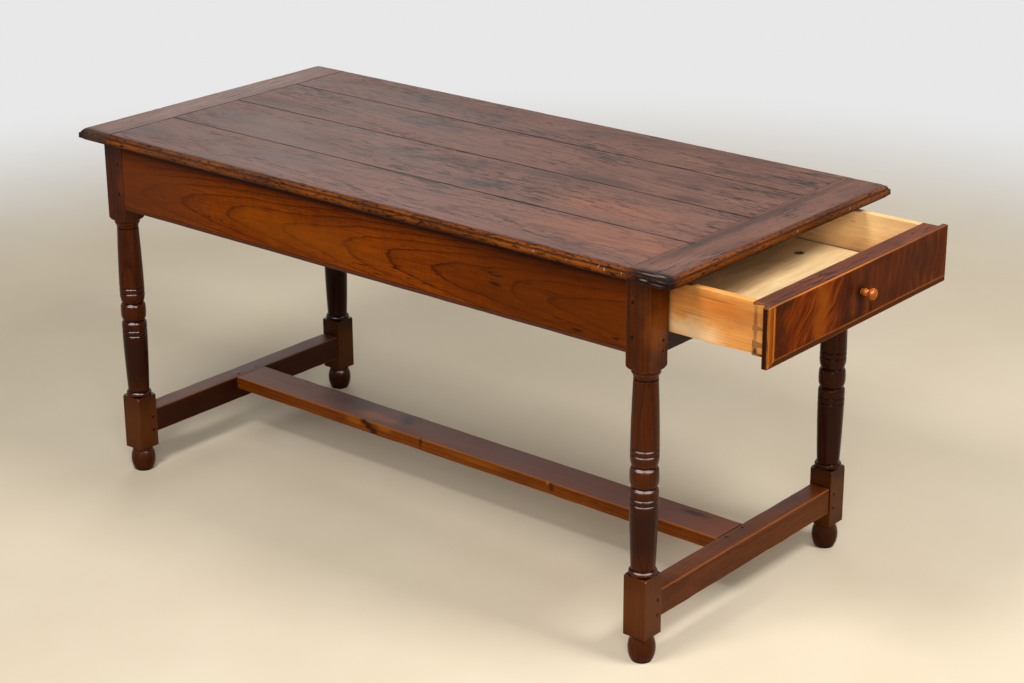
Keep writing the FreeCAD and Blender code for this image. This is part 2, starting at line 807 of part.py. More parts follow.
long_bar = block(
    (-stretcher_inner_x, stretcher_inner_x),
    (-long_stretcher_width / 2, long_stretcher_width / 2),
    (stretcher_top_height - long_stretcher_thickness, stretcher_top_height),
)
long_bar = eased(long_bar, stretcher_easing, lambda c: same(c.z, stretcher_top_height) and same(c.x, 0))
long_bar = long_bar.fuse([block(*long_stretcher_tenon(end)) for end in ENDS]).removeSplitter()
pieces["long_stretcher"] = drilled(long_bar, long_stretcher_pegs[1] + long_stretcher_pegs[-1])
pieces["end_stretcher_pegs"] = [
    Part.makeCylinder(radius, length + 2 * peg_proud, start - way * peg_proud, way)
    for spots in stretcher_pegs.values()
    for start, way, radius, length in spots
]
pieces["long_stretcher_pegs"] = [peg(*spot) for spots in long_stretcher_pegs.values() for spot in spots]

# Bearers and glue blocks under the top
for name, place in (("top_bearer_front", front_bearer_x), ("top_bearer_rear", rear_bearer_x)):
    reach = rail_inner_y + bearer_housing_depth
    bearer = block(
        (place - bearer_width / 2, place + bearer_width / 2), (-reach, reach), (bearer_foot, top_under)
    )
    pieces[name] = drilled(bearer, bearer_pegs[place])
pieces["bearer_pegs"] = [peg(*spot) for spots in bearer_pegs.values() for spot in spots]

glue_heights = (top_under - glue_block_size, top_under)
side_glue_places = ((front_bearer_x + rear_bearer_x) / 2, (rear_bearer_x - rail_inner_x) / 2)
glue_blocks = [
    block(
        (place - glue_block_length / 2, place + glue_block_length / 2),
        (side * rail_inner_y, side * (rail_inner_y - glue_block_size)),
        glue_heights,
    )
    for place in side_glue_places
    for side in SIDES.values()
]
glue_blocks += [
    block(
        (-rail_inner_x, -rail_inner_x + glue_block_size),
        (place - glue_block_length / 2, place + glue_block_length / 2),
        glue_heights,
    )
    for place in (-end_glue_block_place, end_glue_block_place)
]
pieces["glue_blocks"] = glue_blocks

# Runners, guides and kickers
for side_name, side in SIDES.items():
    strip = (side * rail_inner_y, side * (rail_inner_y - runner_width))
    runner = block((runner_back, drawer_rail_back), strip, (runner_foot, runner_head))
    around_leg = block(
        (leg_inner_x, leg_face_x), (side * leg_inner_y, side * leg_face_y), (runner_foot, runner_head),
        grow=joint_clearance,
    )
    runner = runner.cut(around_leg).fuse(block(*runner_stub(side))).removeSplitter()
    pieces[f"drawer_runner_{side_name}"] = drilled(runner, nails=runner_nails[side])
    guide = block(
        (runner_back, leg_inner_x),
        (side * leg_inner_y, side * rail_inner_y),
        (runner_head, runner_head + guide_height),
    )
    pieces[f"drawer_guide_{side_name}"] = drilled(guide, nails=guide_nails[side] + runner_nails[side])
    kicker = block((runner_back, leg_inner_x), strip, (top_under - upper_rail_thickness, top_under))
    pieces[f"drawer_kicker_{side_name}"] = drilled(kicker, nails=kicker_nails[side])
pieces["runner_nails"] = [nail(*spot) for spots in runner_nails.values() for spot in spots]
pieces["guide_nails"] = [nail(*spot) for spots in guide_nails.values() for spot in spots]
pieces["kicker_nails"] = [nail(*spot) for spots in kicker_nails.values() for spot in spots]


# Drawer
def tails(side, grow=0.0):
    """The dovetails on the front of one drawer side, or their sockets when grown by a clearance."""
    end = core_back + tail_length + grow
    y = (side * drawer_inner_y, side * drawer_side_y)
    solid = block((core_back, end), (y[0] - side * grow, y[1] + side * grow), (drawer_foot, drawer_head))
    flare = tail_length / tail_slope
    margin = side * cutter_margin

    def pin(low, high, low_flare, high_flare):
        """The gap between two tails, wider at their roots than at their ends."""
        corners = ((core_back, low), (core_back, high), (end, high - high_flare), (end, low + low_flare))
        outline = [V(x, y[0] - margin, z) for x, z in corners]
        return prism(outline, V(0, y[1] - y[0] + 2 * margin, 0))

    pins = [
        pin(drawer_foot + height - width / 2 + grow, drawer_foot + height + width / 2 - grow, flare, flare)
        for height, width in ((lower_pin_height, lower_pin_width), (upper_pin_height, upper_pin_width))
    ]
    pins.append(pin(drawer_foot - cutter_margin, drawer_foot + bottom_half_pin - grow, 0, flare))
    pins.append(pin(drawer_head - top_half_pin + grow, drawer_head + cutter_margin, flare, 0))
    return solid.cut(pins)


bottom_half_y = drawer_inner_y + drawer_bottom_groove - drawer_bottom_edge_gap
bottom_front = core_back + drawer_bottom_groove - drawer_bottom_edge_gap
bottom_heights = (bottom_foot, bottom_head)
knob_z = drawer_foot + knob_height
shank_hole = Part.makeCylinder(
    knob_shank_radius + peg_clearance, drawer_length, V(core_back - cutter_margin, 0, knob_z), V(1, 0, 0)
)

core = block((core_back, lip_back), (-drawer_side_y, drawer_side_y), (drawer_foot, drawer_head))
lip = block((lip_back, lip_front), (-lip_end_y, lip_end_y), (lip_foot, drawer_head))
front_groove = block(
    (core_back - cutter_margin, core_back + drawer_bottom_groove),
    (-bottom_half_y, bottom_half_y),
    bottom_heights,
    grow=joint_clearance,
)
sockets = [tails(side, grow=joint_clearance) for side in SIDES.values()]
pieces["drawer_front"] = core.fuse(lip).removeSplitter().cut(sockets + [front_groove, shank_hole])

worn_end = core_back + tail_length
wear_start = worn_end - drawer_side_wear_length
wear_along, wear_rise = crown_middle(drawer_side_wear_length, drawer_side_wear)
back_place = (drawer_back_x + drawer_back_inset, drawer_back_x + drawer_back_inset + drawer_back_thickness)
back_heights = (bottom_head + joint_clearance, drawer_head - drawer_back_drop)
for side_name, side in SIDES.items():
    cheek = block(
        (drawer_back_x, core_back), (side * drawer_inner_y, side * drawer_side_y), (drawer_foot, drawer_head)
    )
    cheek = cheek.fuse(tails(side)).removeSplitter()
    side_groove = block(
        (drawer_back_x - cutter_margin, core_back + tail_length + cutter_margin),
        (side * (drawer_inner_y - cutter_margin), side * (drawer_inner_y + drawer_bottom_groove)),
        bottom_heights,
        grow=joint_clearance,
    )
    housing = block(
        back_place,
        (side * (drawer_inner_y - cutter_margin), side * (drawer_inner_y + drawer_back_housing)),
        (bottom_head, drawer_head + cutter_margin),
        grow=joint_clearance,
    )
    start_y = side * (drawer_inner_y - cutter_margin)
    wear_points = [V(wear_start, start_y, drawer_foot),
                   V(wear_start + wear_along, start_y, drawer_foot + wear_rise),
                   V(worn_end, start_y, drawer_foot + drawer_side_wear)]
    below = [wear_points[2], V(worn_end + cutter_margin, start_y, drawer_foot + drawer_side_wear),
             V(worn_end + cutter_margin, start_y, drawer_foot - cutter_margin),
             V(wear_start, start_y, drawer_foot - cutter_margin), wear_points[0]]
    wear_edges = [Part.Arc(*wear_points).toShape()]
    wear_edges += [Part.LineSegment(a, b).toShape() for a, b in zip(below, below[1:])]
    wear_width = drawer_side_thickness + 2 * cutter_margin
    wear = Part.Face(Part.Wire(wear_edges)).extrude(V(0, side * wear_width, 0))
    pieces[f"drawer_side_{side_name}"] = cheek.cut([side_groove, housing, wear])

back_half_y = drawer_inner_y + drawer_back_housing
back_board = block(back_place, (-back_half_y, back_half_y), back_heights)
pieces["drawer_back"] = drilled(back_board, nails=bottom_nails)

bottom_seam = bottom_front - drawer_bottom_front_board
hole = Part.makeCylinder(
    bottom_hole_radius,
    drawer_bottom_thickness + 2 * cutter_margin,
    V(drawer_face - bottom_hole_from_face, bottom_hole_across, bottom_foot - cutter_margin),
    UP,
)
bottom_width = (-bottom_half_y, bottom_half_y)
front_bottom = block((bottom_seam + seam_gap / 2, bottom_front), bottom_width, bottom_heights)
pieces["drawer_bottom_front"] = front_bottom.cut(hole)
rear_bottom = block((drawer_back_x, bottom_seam - seam_gap / 2), bottom_width, bottom_heights)
pieces["drawer_bottom_rear"] = drilled(rear_bottom, nails=bottom_nails)
pieces["drawer_bottom_nails"] = [nail(*spot) for spot in bottom_nails]

# Veneer, bands and stringing on the drawer's face
band_end = -lip_end_y + end_band_width
band_head = lip_foot + bottom_band_width
string_end = band_end + stringing_width
string_head = band_head + stringing_width


def inlay(corners):
    """A thin sheet on the drawer's face from its corners across and up."""
    return prism([V(lip_front, y, z) for y, z in corners], V(veneer_thickness, 0, 0))


field = inlay(
    [(string_end, string_head), (lip_end_y, string_head), (lip_end_y, drawer_head), (string_end, drawer_head)]
)
pieces["front_veneer"] = field.cut(shank_hole)
pieces["end_band"] = inlay(
    [(-lip_end_y, lip_foot), (band_end, band_head), (band_end, drawer_head), (-lip_end_y, drawer_head)]
)
pieces["bottom_band"] = inlay(
    [(-lip_end_y, lip_foot), (lip_end_y, lip_foot), (lip_end_y, band_head), (band_end, band_head)]
)
pieces["stringing"] = inlay(
    [(band_end, band_head), (lip_end_y, band_head), (lip_end_y, string_head),
     (string_end, string_head), (string_end, drawer_head), (band_end, drawer_head)]
)

# Knob, turned with its shank
bead_end = knob_base_length + knob_bead_length
button_middle = bead_end + knob_button_length / 2
button_end = bead_end + knob_button_length
dome_out, dome_down = crown_middle(knob_dome_radius, knob_dome_height)
knob = turned([
    (knob_shank_radius, core_back - drawer_face),
    (knob_shank_radius, 0.0),
    (knob_base_radius, 0.0),
    (knob_base_radius, knob_base_length),
    ((knob_bead_radius, knob_base_length + knob_bead_length / 2), (knob_neck_radius, bead_end)),
    (knob_dome_radius, bead_end + knob_dome_height),
    ((knob_button_radius, button_middle), (knob_dome_radius, button_end - knob_dome_height)),
    ((dome_out, button_end - dome_down), (0.0, button_end)),
])
knob.rotate(V(0, 0, 0), V(0, 1, 0), 90)
knob.translate(V(drawer_face, 0, knob_z))
pieces["drawer_knob"] = knob

os.makedirs("parts", exist_ok=True)
for name, shape in pieces.items():
    solids = shape if isinstance(shape, list) else shape.Solids
    Part.makeCompound(solids).exportStep(f"parts/{name}.step")
    volume = sum(solid.Volume for solid in solids)
    print(f"{name}: {len(solids)} solid(s), {volume / 1000:.1f} cm3")
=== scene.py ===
# %% [markdown]
# A farmhouse table, dressed on its own construction model.
# The packed model gives every peg, board and turning its true size and place, in metres.
# Here each piece gets the finish of the old table: waxed walnut, bare pine, a veneered drawer front.
# Pieces whose wear shows as shape are modelled again over a copy of the plain solid.

# %% Load the plain model and keep its size
import math

import bpy
from mathutils import Matrix, Vector


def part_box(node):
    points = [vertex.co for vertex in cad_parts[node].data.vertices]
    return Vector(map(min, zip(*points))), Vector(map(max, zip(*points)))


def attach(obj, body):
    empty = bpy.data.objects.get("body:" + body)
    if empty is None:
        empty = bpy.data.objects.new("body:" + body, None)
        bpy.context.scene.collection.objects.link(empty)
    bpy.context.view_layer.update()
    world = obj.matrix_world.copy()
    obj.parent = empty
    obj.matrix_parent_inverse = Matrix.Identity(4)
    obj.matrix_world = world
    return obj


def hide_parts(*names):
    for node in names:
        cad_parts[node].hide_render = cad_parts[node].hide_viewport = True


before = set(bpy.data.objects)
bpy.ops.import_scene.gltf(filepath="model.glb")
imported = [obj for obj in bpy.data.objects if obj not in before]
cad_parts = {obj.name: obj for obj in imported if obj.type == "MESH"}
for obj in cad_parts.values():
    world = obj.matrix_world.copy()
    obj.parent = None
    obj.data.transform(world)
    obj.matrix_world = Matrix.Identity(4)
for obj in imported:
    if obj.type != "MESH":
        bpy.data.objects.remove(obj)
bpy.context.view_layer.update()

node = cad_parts
bpy.ops.object.select_all(action="DESELECT")

# %% [markdown]
# The camera stands a little above the top and looks across the near corner at the open drawer. Its
# place was worked out from the corners of the legs and the top, so the blocks, feet and edges of the
# model fall on those of the picture.

# %% Stand the camera
camera_place = Vector((2.8466, -3.2513, 2.0067))
turn, tilt, lean = math.radians(40.021), math.radians(20.785), math.radians(-0.317)
focal_pixels = 2250.83
picture_pixels = 1024
ahead = Vector((-math.sin(turn) * math.cos(tilt), math.cos(turn) * math.cos(tilt), -math.sin(tilt)))
level = Vector((math.cos(turn), math.sin(turn), 0))
above = level.cross(ahead)
right = math.cos(lean) * level + math.sin(lean) * above
up = math.cos(lean) * above - math.sin(lean) * level

lens = bpy.data.cameras.new("view_from_the_near_corner")
lens.sensor_width = 36
lens.lens = lens.sensor_width * focal_pixels / picture_pixels
camera = bpy.data.objects.new("view_from_the_near_corner", lens)
facing = Matrix((right, up, -ahead)).transposed().to_4x4()
camera.matrix_world = Matrix.Translation(camera_place) @ facing
bpy.context.collection.objects.link(camera)
bpy.context.scene.camera = camera
bpy.context.scene.view_settings.view_transform = "Standard"
print("lens", round(lens.lens, 1), "mm")

# %% [markdown]
# Colours are written as the sRGB hex values a painter's colour picker shows, and one function turns
# them to the linear values that Blender mixes. A second one adds a node: its settings go to the
# node's properties or to its sockets, and its links name the socket that each earlier node feeds.


# %% Colours and nodes
def to_linear(colour):
    """An sRGB hex colour as the linear RGBA that Blender works in."""
    parts = [int(colour[i:i + 2], 16) / 255 for i in (1, 3, 5)]
    return [p / 12.92 if p <= 0.04045 else ((p + 0.055) / 1.055) ** 2.4 for p in parts] + [1]


def add(tree, kind, settings=None, links=None):
    """Adds a node, gives it its settings, and joins earlier nodes to its sockets."""
    made = tree.nodes.new("ShaderNode" + kind)
    for key, value in (settings or {}).items():
        value = to_linear(value) if isinstance(value, str) and value.startswith("#") else value
        if key == "stops":
            elements = made.color_ramp.elements
            while len(elements) < len(value):
                elements.new(0.5)
            for stop, (place, colour) in zip(elements, value):
                stop.position = place
                stop.color = to_linear(colour)
        elif isinstance(key, int) or key in made.inputs:
            made.inputs[key].default_value = value
        else:
            setattr(made, key, value)
    for key, source in (links or {}).items():
        if isinstance(source, bpy.types.Node):
            source = next(out for out in source.outputs if out.enabled)
        tree.links.new(source, made.inputs[key])
    return made


def fresh_material(name):
    """An empty material with its node tree, its output, and the piece's own coordinates."""
    material = bpy.data.materials.new(name)
    material.use_nodes = True
    tree = material.node_tree
    tree.nodes.clear()
    return material, tree, add(tree, "OutputMaterial"), add(tree, "TexCoord").outputs["Object"]


print("paint", [round(c, 3) for c in to_linear("#7a3a14")])

# %% [markdown]
# Plain studio light. In the picture the shadow lies behind the table and to its left, and every ball
# and ring of the turnings carries two bright marks on its upper side, so two soft boxes hang high, one
# in front and one at the drawer end. A broad weak panel by the camera opens the shadows under the top,
# three do so behind, and the world fills the rest and shows as white round the floor. The lowest of
# those behind also lies where the top mirrors it, and greys its far end. Two wide reflector cards, kept
# by light linking to the knob and to three of the legs, show only in their polish: they draw the
# bright marks without lighting the wood.

# %% Light the table


def soft_panel(name, place, aim, width, height, watts):
    """An area lamp that faces its aim."""
    lamp = bpy.data.lights.new(name, "AREA")
    lamp.shape = "RECTANGLE"
    lamp.size = width
    lamp.size_y = height
    lamp.energy = watts
    panel = bpy.data.objects.new(name, lamp)
    panel.location = place
    panel.rotation_euler = (Vector(aim) - Vector(place)).to_track_quat("-Z", "Y").to_euler()
    bpy.context.collection.objects.link(panel)
    return panel


panels = [
    soft_panel("front_soft_box", (0.3, -1.8, 3.1), (0, -0.2, 0.5), 0.8, 0.8, 63),
    soft_panel("drawer_end_soft_box", (2.2, 0.1, 2.8), (0.4, 0, 0.5), 0.8, 0.8, 66),
    soft_panel("camera_side_panel", (2.9, -3.2, 2.5), (0.1, 0, 0.5), 1.6, 1.6, 86),
    soft_panel("back_panel", (-2.9, 2.6, 3.6), (0.1, 0, 0.5), 2.0, 2.0, 28),
    soft_panel("far_side_panel", (0.6, 3.6, 2.4), (0, 0, 0.4), 2.0, 2.0, 22),
    soft_panel("low_back_panel", (-3.6, 2.8, 1.9), (0.1, 0, 0.5), 2.0, 2.0, 9),
]
near_leg_ball = (0.68, -0.33, 0.38)
cards = [
    soft_panel("front_reflector_card", (0.40, -2.35, 2.1), near_leg_ball, 2.9, 2.4, 1000),
    soft_panel("drawer_end_reflector_card", (2.70, -0.70, 2.1), near_leg_ball, 2.9, 2.4, 1000),
]
turned_pieces = bpy.data.collections.new("turned_pieces")
for name in ("leg_drawer_end_near", "leg_blind_end_near", "leg_blind_end_far", "drawer_knob"):
    turned_pieces.objects.link(node[name])
for card in cards:
    card.visible_diffuse = False
    card.light_linking.receiver_collection = turned_pieces
for panel in panels + cards:
    panel.visible_camera = False


def seen_directly(tree):
    """1 where the camera, a reflection or clear glass looks at the background, 0 for light itself."""
    path = add(tree, "LightPath").outputs
    seen = add(tree, "Math", {"operation": "MAXIMUM"}, {0: path["Is Camera Ray"], 1: path["Is Glossy Ray"]})
    return add(tree, "Math", {"operation": "MAXIMUM"}, {0: seen, 1: path["Is Transmission Ray"]})


studio_white = "#e8e8e8"
world = bpy.data.worlds.new("white_studio")
bpy.context.scene.world = world
world.use_nodes = True
sky = world.node_tree
sky.nodes.clear()
ambient = add(sky, "Background", {"Color": "#ffffff", "Strength": 0.18})
white = add(sky, "Background", {"Color": studio_white, "Strength": 1.0})
both = add(sky, "MixShader", {}, {0: seen_directly(sky), 1: ambient, 2: white})
add(sky, "OutputWorld", {}, {"Surface": both})
print("panels", {panel.name: panel.data.energy for panel in panels}, "W")

# %% [markdown]
# The floor is pale, warm and plain, with only the soft cloudiness of a swept cement floor. Well away
# from the table it fades to the white of the studio, so no edge shows from any side.

# %% Lay the floor
bpy.ops.mesh.primitive_plane_add(size=60, location=(0, 0, 0))
floor = bpy.context.object
floor.name = "studio_floor"

cement, tree, output, place = fresh_material("pale_swept_cement")
cloud = add(tree, "TexNoise", {"Scale": 2.2, "Detail": 5.0}, {"Vector": place})
tint = add(tree, "ValToRGB", {"stops": [(0.35, "#d1c2a9"), (0.65, "#d6c8b0")]}, {"Fac": cloud})
matt = add(tree, "BsdfPrincipled", {"Roughness": 0.85, "Specular IOR Level": 0.15}, {"Base Color": tint})
span = add(tree, "VectorMath", {"operation": "LENGTH"}, {0: place}).outputs["Value"]
fade = add(tree, "MapRange", {"interpolation_type": "SMOOTHSTEP", "From Min": 1.9, "From Max": 3.6},
           {"Value": span})
fade = add(tree, "Math", {"operation": "MULTIPLY"}, {0: fade, 1: seen_directly(tree)})
studio = add(tree, "Emission", {"Color": studio_white, "Strength": 1.0})
both = add(tree, "MixShader", {}, {0: fade, 1: matt, 2: studio})
tree.links.new(both.outputs[0], output.inputs["Surface"])
floor.data.materials.append(cement)
bpy.ops.object.select_all(action="DESELECT")
print("floor", floor.name)

# %% [markdown]
# Old wood is never as crisp as a plain solid. A worn piece starts as a copy of the plain one: its loose
# triangles are merged, its flat faces joined again, and the faces that took the wear are cut into small
# cells with the bisect tool.

# %% Copy a piece and pick its faces
worn = {}


def merged_copy(name):
    """A copy of a plain node, merged into one skin with its flat faces whole, in edit mode."""
    piece = bpy.data.objects.new("worn_" + name, node[name].data.copy())
    bpy.context.collection.objects.link(piece)
    bpy.ops.object.select_all(action="DESELECT")
    bpy.context.view_layer.objects.active = piece
    piece.select_set(True)
    bpy.ops.object.mode_set(mode="EDIT")
    bpy.ops.mesh.customdata_custom_splitnormals_clear()
    bpy.ops.mesh.select_mode(type="FACE")
    bpy.ops.mesh.select_all(action="SELECT")
    bpy.ops.mesh.remove_doubles(threshold=1e-5)
    bpy.ops.mesh.dissolve_limited(angle_limit=math.radians(0.5))
    return piece


def pick_faces(piece, wanted):
    """Selects the faces whose middle and normal pass the test, and stays in edit mode."""
    bpy.ops.mesh.select_mode(type="FACE")
    bpy.ops.mesh.select_all(action="DESELECT")
    bpy.ops.object.mode_set(mode="OBJECT")
    for face in piece.data.polygons:
        face.select = wanted(face.center, face.normal)
    bpy.ops.object.mode_set(mode="EDIT")


def cut_cells(piece, wanted, axis, step):
    """Cuts the wanted faces across one axis, every step metres."""
    pick_faces(piece, wanted)
    bpy.ops.mesh.hide(unselected=True)
    corners = [corner[axis] for corner in piece.bound_box]
    across = [0, 0, 0]
    across[axis] = 1
    place = step * math.ceil(min(corners) / step + 0.01)
    while place < max(corners):
        bpy.ops.mesh.select_all(action="SELECT")
        point = [0, 0, 0]
        point[axis] = place
        bpy.ops.mesh.bisect(plane_co=point, plane_no=across)
        place += step
    bpy.ops.mesh.reveal(select=False)


print("tools for", len(node), "nodes")

# %% [markdown]
# Displace modifiers then sink those cells with cloud textures, only ever inwards, so the piece never
# outgrows its box. How far each point sank is kept as an attribute named hollow, because dark wax
# gathers in the hollows and the finish can then show it.

# %% Sink the worn places and settle the piece


def cloud_pattern(name, spots=False):
    """A cloud texture: smooth swells, or scattered spots with nothing between them."""
    cloud = bpy.data.textures.new(name, "CLOUDS")
    cloud.noise_scale = 1.0
    cloud.noise_depth = 2
    cloud.use_clamp = True
    if spots:
        cloud.contrast = 5
        cloud.intensity = 0.05
    return cloud


swells_pattern = cloud_pattern("slow_swells")
spots_pattern = cloud_pattern("scattered_dents", spots=True)


def sink(piece, pattern, size, depth, weight, way="NORMAL", shift=(0, 0, 0)):
    """Sinks points by a cloud pattern of the given size in metres, as far as their weight says."""
    group = piece.vertex_groups.new(name="wear")
    for point in piece.data.vertices:
        share = weight(point.co, point.normal)
        if share > 0:
            group.add([point.index], share, "REPLACE")
    ruler = bpy.data.objects.new("pattern_ruler", None)
    ruler.location = shift
    ruler.scale = size
    bpy.context.collection.objects.link(ruler)
    bpy.context.view_layer.update()
    wear = piece.modifiers.new("wear", "DISPLACE")
    wear.texture = pattern
    wear.texture_coords = "OBJECT"
    wear.texture_coords_object = ruler
    wear.vertex_group = group.name
    wear.direction = way
    wear.mid_level = 0
    wear.strength = -depth
    bpy.ops.object.modifier_apply(modifier=wear.name)
    bpy.data.objects.remove(ruler)
    piece.vertex_groups.clear()


def keep_hollows(piece, before, deepest=0.0015):
    """Writes how far each point has sunk, from 0 to 1, where the finish can read it."""
    hollow = piece.data.attributes.new("hollow", "FLOAT", "POINT")
    moved = [(point.co - old).length / deepest for point, old in zip(piece.data.vertices, before)]
    hollow.data.foreach_set("value", [min(1, share) for share in moved])


def settle(piece, name, body):
    """Ends a worn piece: smooth shading, its body, and the plain node it stands for."""
    bpy.ops.object.shade_smooth_by_angle(angle=math.radians(35))
    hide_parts(name)
    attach(piece, body)
    piece.select_set(False)
    worn[name] = piece
    print(piece.name, "faces", len(piece.data.polygons))


print("patterns", swells_pattern.name, spots_pattern.name)

# %% [markdown]
# The planks of the top are dished and gouged along the grain, their joints are broken down at the
# arris, and the moulded edge is dented where chairs and pots have struck it.

# %% Wear the planks
plank_names = ("top_board_near", "top_board_inner_near", "top_board_inner_far", "top_board_far")
plank_seams = [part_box(name)[1].y for name in plank_names[:3]]
top_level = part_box("top_board_near")[1].z
front_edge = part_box("top_board_near")[0].y
plank_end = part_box("breadboard_drawer_end")[0].x
table_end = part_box("breadboard_drawer_end")[1].x
mould_width = 0.0125
mould_foot, mould_head = 0.744, 0.765
mould_cut_from = 0.7445
mould_worn_from = 0.7455
mould_step = 0.005
joint_depth = 0.0035
joint_reach = 0.008
seam_reach = 0.006


def cut_flat(piece, along):
    """Cuts the flat of a board every 10 mm along its grain and 3 mm across, and gives all its points."""
    cut_cells(piece, lambda c, n: n.z > 0.6 and c.z > top_level - 0.0015, along, 0.010)
    cut_cells(piece, lambda c, n: n.z > 0.99 and c.z > top_level - 0.0005, 1 - along, 0.003)
    bpy.ops.object.mode_set(mode="OBJECT")
    return [point.co.copy() for point in piece.data.vertices]


def in_long_mould(c, foot):
    """True on the moulding along the two long sides, above the given height."""
    return abs(c.y) > -front_edge - mould_width and c.z > foot


def on_long_mould(c, n):
    """1 on the moulding along the two long sides, above its lowest arris."""
    return float(in_long_mould(c, mould_worn_from) and abs(n.x) < 0.5)


def on_face(c, n):
    """1 on the flat of the top."""
    return float(c.z > top_level - 0.0003)


def at_plank_joint(c, n):
    """1 at a joint between planks or with a breadboard, falling to 0 within a few millimetres."""
    if c.z < top_level - joint_depth:
        return 0.0
    seam = min(abs(c.y - seam) for seam in plank_seams)
    return max(0, 1 - seam / seam_reach, 1 - (plank_end - abs(c.x)) / joint_reach)


for number, name in enumerate(plank_names):
    plank = merged_copy(name)
    cut_cells(plank, lambda c, n: in_long_mould(c, mould_cut_from) and abs(n.x) < 0.5, 0, mould_step)
    before = cut_flat(plank, 0)
    shift = (0.37 * number, 0.11 * number, 0)
    sink(plank, swells_pattern, (0.22, 0.05, 0.1), 0.0006, on_face, "Z", shift)
    sink(plank, spots_pattern, (0.03, 0.007, 0.02), 0.0003, on_face, "Z", shift)
    sink(plank, spots_pattern, (0.035, 0.012, 0.02), 0.0007, at_plank_joint, "Z", shift)
    sink(plank, spots_pattern, (0.014, 0.02, 0.012), 0.0005, on_long_mould, "NORMAL", shift)
    sink(plank, swells_pattern, (0.08, 0.05, 0.05), 0.0006, on_long_mould, "NORMAL", shift)
    keep_hollows(plank, before)
    settle(plank, name, "table")

# %% [markdown]
# The breadboards carry the same wear, with their grain across the table.

# %% Wear the breadboards
corner_reach = 0.022


def on_rim(c, n):
    """1 on the moulding round a breadboard, above its lowest arris."""
    outward = max(abs(c.x) - table_end, abs(c.y) + front_edge)
    return float(outward > -mould_width and c.z > mould_worn_from)


def in_end_mould(c):
    """True on the moulding along the two ends of the table."""
    return abs(c.x) > table_end - mould_width and c.z > mould_cut_from


def at_top_corner(c, n):
    """1 at the outer corners of the top, which are knocked round, falling to 0 within 22 mm."""
    return max(0, 1 - math.hypot(table_end - abs(c.x), -front_edge - abs(c.y)) / corner_reach)


def at_board_joint(c, n):
    """1 where a breadboard meets the planks, falling to 0 within a few millimetres."""
    return max(0, 1 - (abs(c.x) - plank_end) / joint_reach) if c.z > top_level - joint_depth else 0.0


for number, name in enumerate(("breadboard_drawer_end", "breadboard_blind_end")):
    board = merged_copy(name)
    cut_cells(board, lambda c, n: abs(n.y) < 0.3 and in_end_mould(c), 1, mould_step)
    cut_cells(board, lambda c, n: abs(n.x) < 0.3 and in_long_mould(c, mould_cut_from), 0, mould_step)
    before = cut_flat(board, 1)
    shift = (0.21, 0.43 * number, 0)
    sink(board, swells_pattern, (0.05, 0.22, 0.1), 0.0007, on_face, "Z", shift)
    sink(board, spots_pattern, (0.007, 0.03, 0.02), 0.0003, on_face, "Z", shift)
    sink(board, spots_pattern, (0.012, 0.035, 0.02), 0.0007, at_board_joint, "Z", shift)
    sink(board, spots_pattern, (0.016, 0.016, 0.012), 0.0006, on_rim, "NORMAL", shift)
    sink(board, swells_pattern, (0.06, 0.06, 0.05), 0.0006, on_rim, "NORMAL", shift)
    sink(board, swells_pattern, (0.012, 0.012, 0.012), 0.0045, at_top_corner, "NORMAL", shift)
    keep_hollows(board, before)
    settle(board, name, "table")

# %% [markdown]
# Stretchers, rails and drawer sides are straight bars. Feet, brooms and hands have worn their long
# arrises, so each is cut across its length and only its arrises are sunk, in slow waves.

# %% Wear the bars
arris_reach = 0.006
bar_step = 0.012
wave_size = (0.06, 0.06, 0.06)


def on_arris(name, axis):
    """A weight that is 1 on the long arrises of a bar and falls to 0 a few millimetres off."""
    low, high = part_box(name)
    one, two = [i for i in range(3) if i != axis]

    def share(c, n):
        a = min(c[one] - low[one], high[one] - c[one])
        b = min(c[two] - low[two], high[two] - c[two])
        return max(0, 1 - math.hypot(a, b) / arris_reach)

    return share


def wear_bar(name, axis, depth, body):
    """Wears the long arrises of one bar that lies along the given axis."""
    bar = merged_copy(name)
    cut_cells(bar, lambda c, n: abs(n[axis]) < 0.3, axis, bar_step)
    bpy.ops.object.mode_set(mode="OBJECT")
    before = [point.co.copy() for point in bar.data.vertices]
    sink(bar, swells_pattern, wave_size, depth, on_arris(name, axis))
    keep_hollows(bar, before, 0.01)
    settle(bar, name, body)


for name, axis, depth in (("long_stretcher", 0, 0.0024), ("end_stretcher_drawer_end", 1, 0.0022),
                          ("end_stretcher_blind_end", 1, 0.0022), ("side_rail_near", 0, 0.0012),
                          ("side_rail_far", 0, 0.0012), ("end_rail", 1, 0.0012)):
    wear_bar(name, axis, depth, "table")
for name in ("drawer_side_near", "drawer_side_far"):
    wear_bar(name, 0, 0.0022, "drawer")

# %% [markdown]
# Wood is most of the table. A tree's rings are tubes round its heart, so a board shows them as lines
# where it lies beside the heart, and as nested arches where it is sawn aslant. The same is done here:
# the distance from a heart line behind the board, tilted along the grain, pushed about by slow noise
# and by a few swellings, is cut into rings.

# %% Streaks and year rings
# Turns the grain to lie along the local X axis.
grain_turn = {"X": (0, 0, 0), "Y": (0, 0, -math.pi / 2), "Z": (0, math.pi / 2, 0)}


def streaks(tree, local, length, width, detail=2.0, shift=0.0):
    """Noise drawn out along the grain: marks about so many millimetres long and wide."""
    sized = add(tree, "Mapping", {"Scale": (1000 / length, 1000 / width, 1000 / width),
                                  "Location": (shift, shift, shift)}, {"Vector": local})
    return add(tree, "TexNoise", {"Scale": 1.0, "Detail": detail, "Roughness": 0.6}, {"Vector": sized})


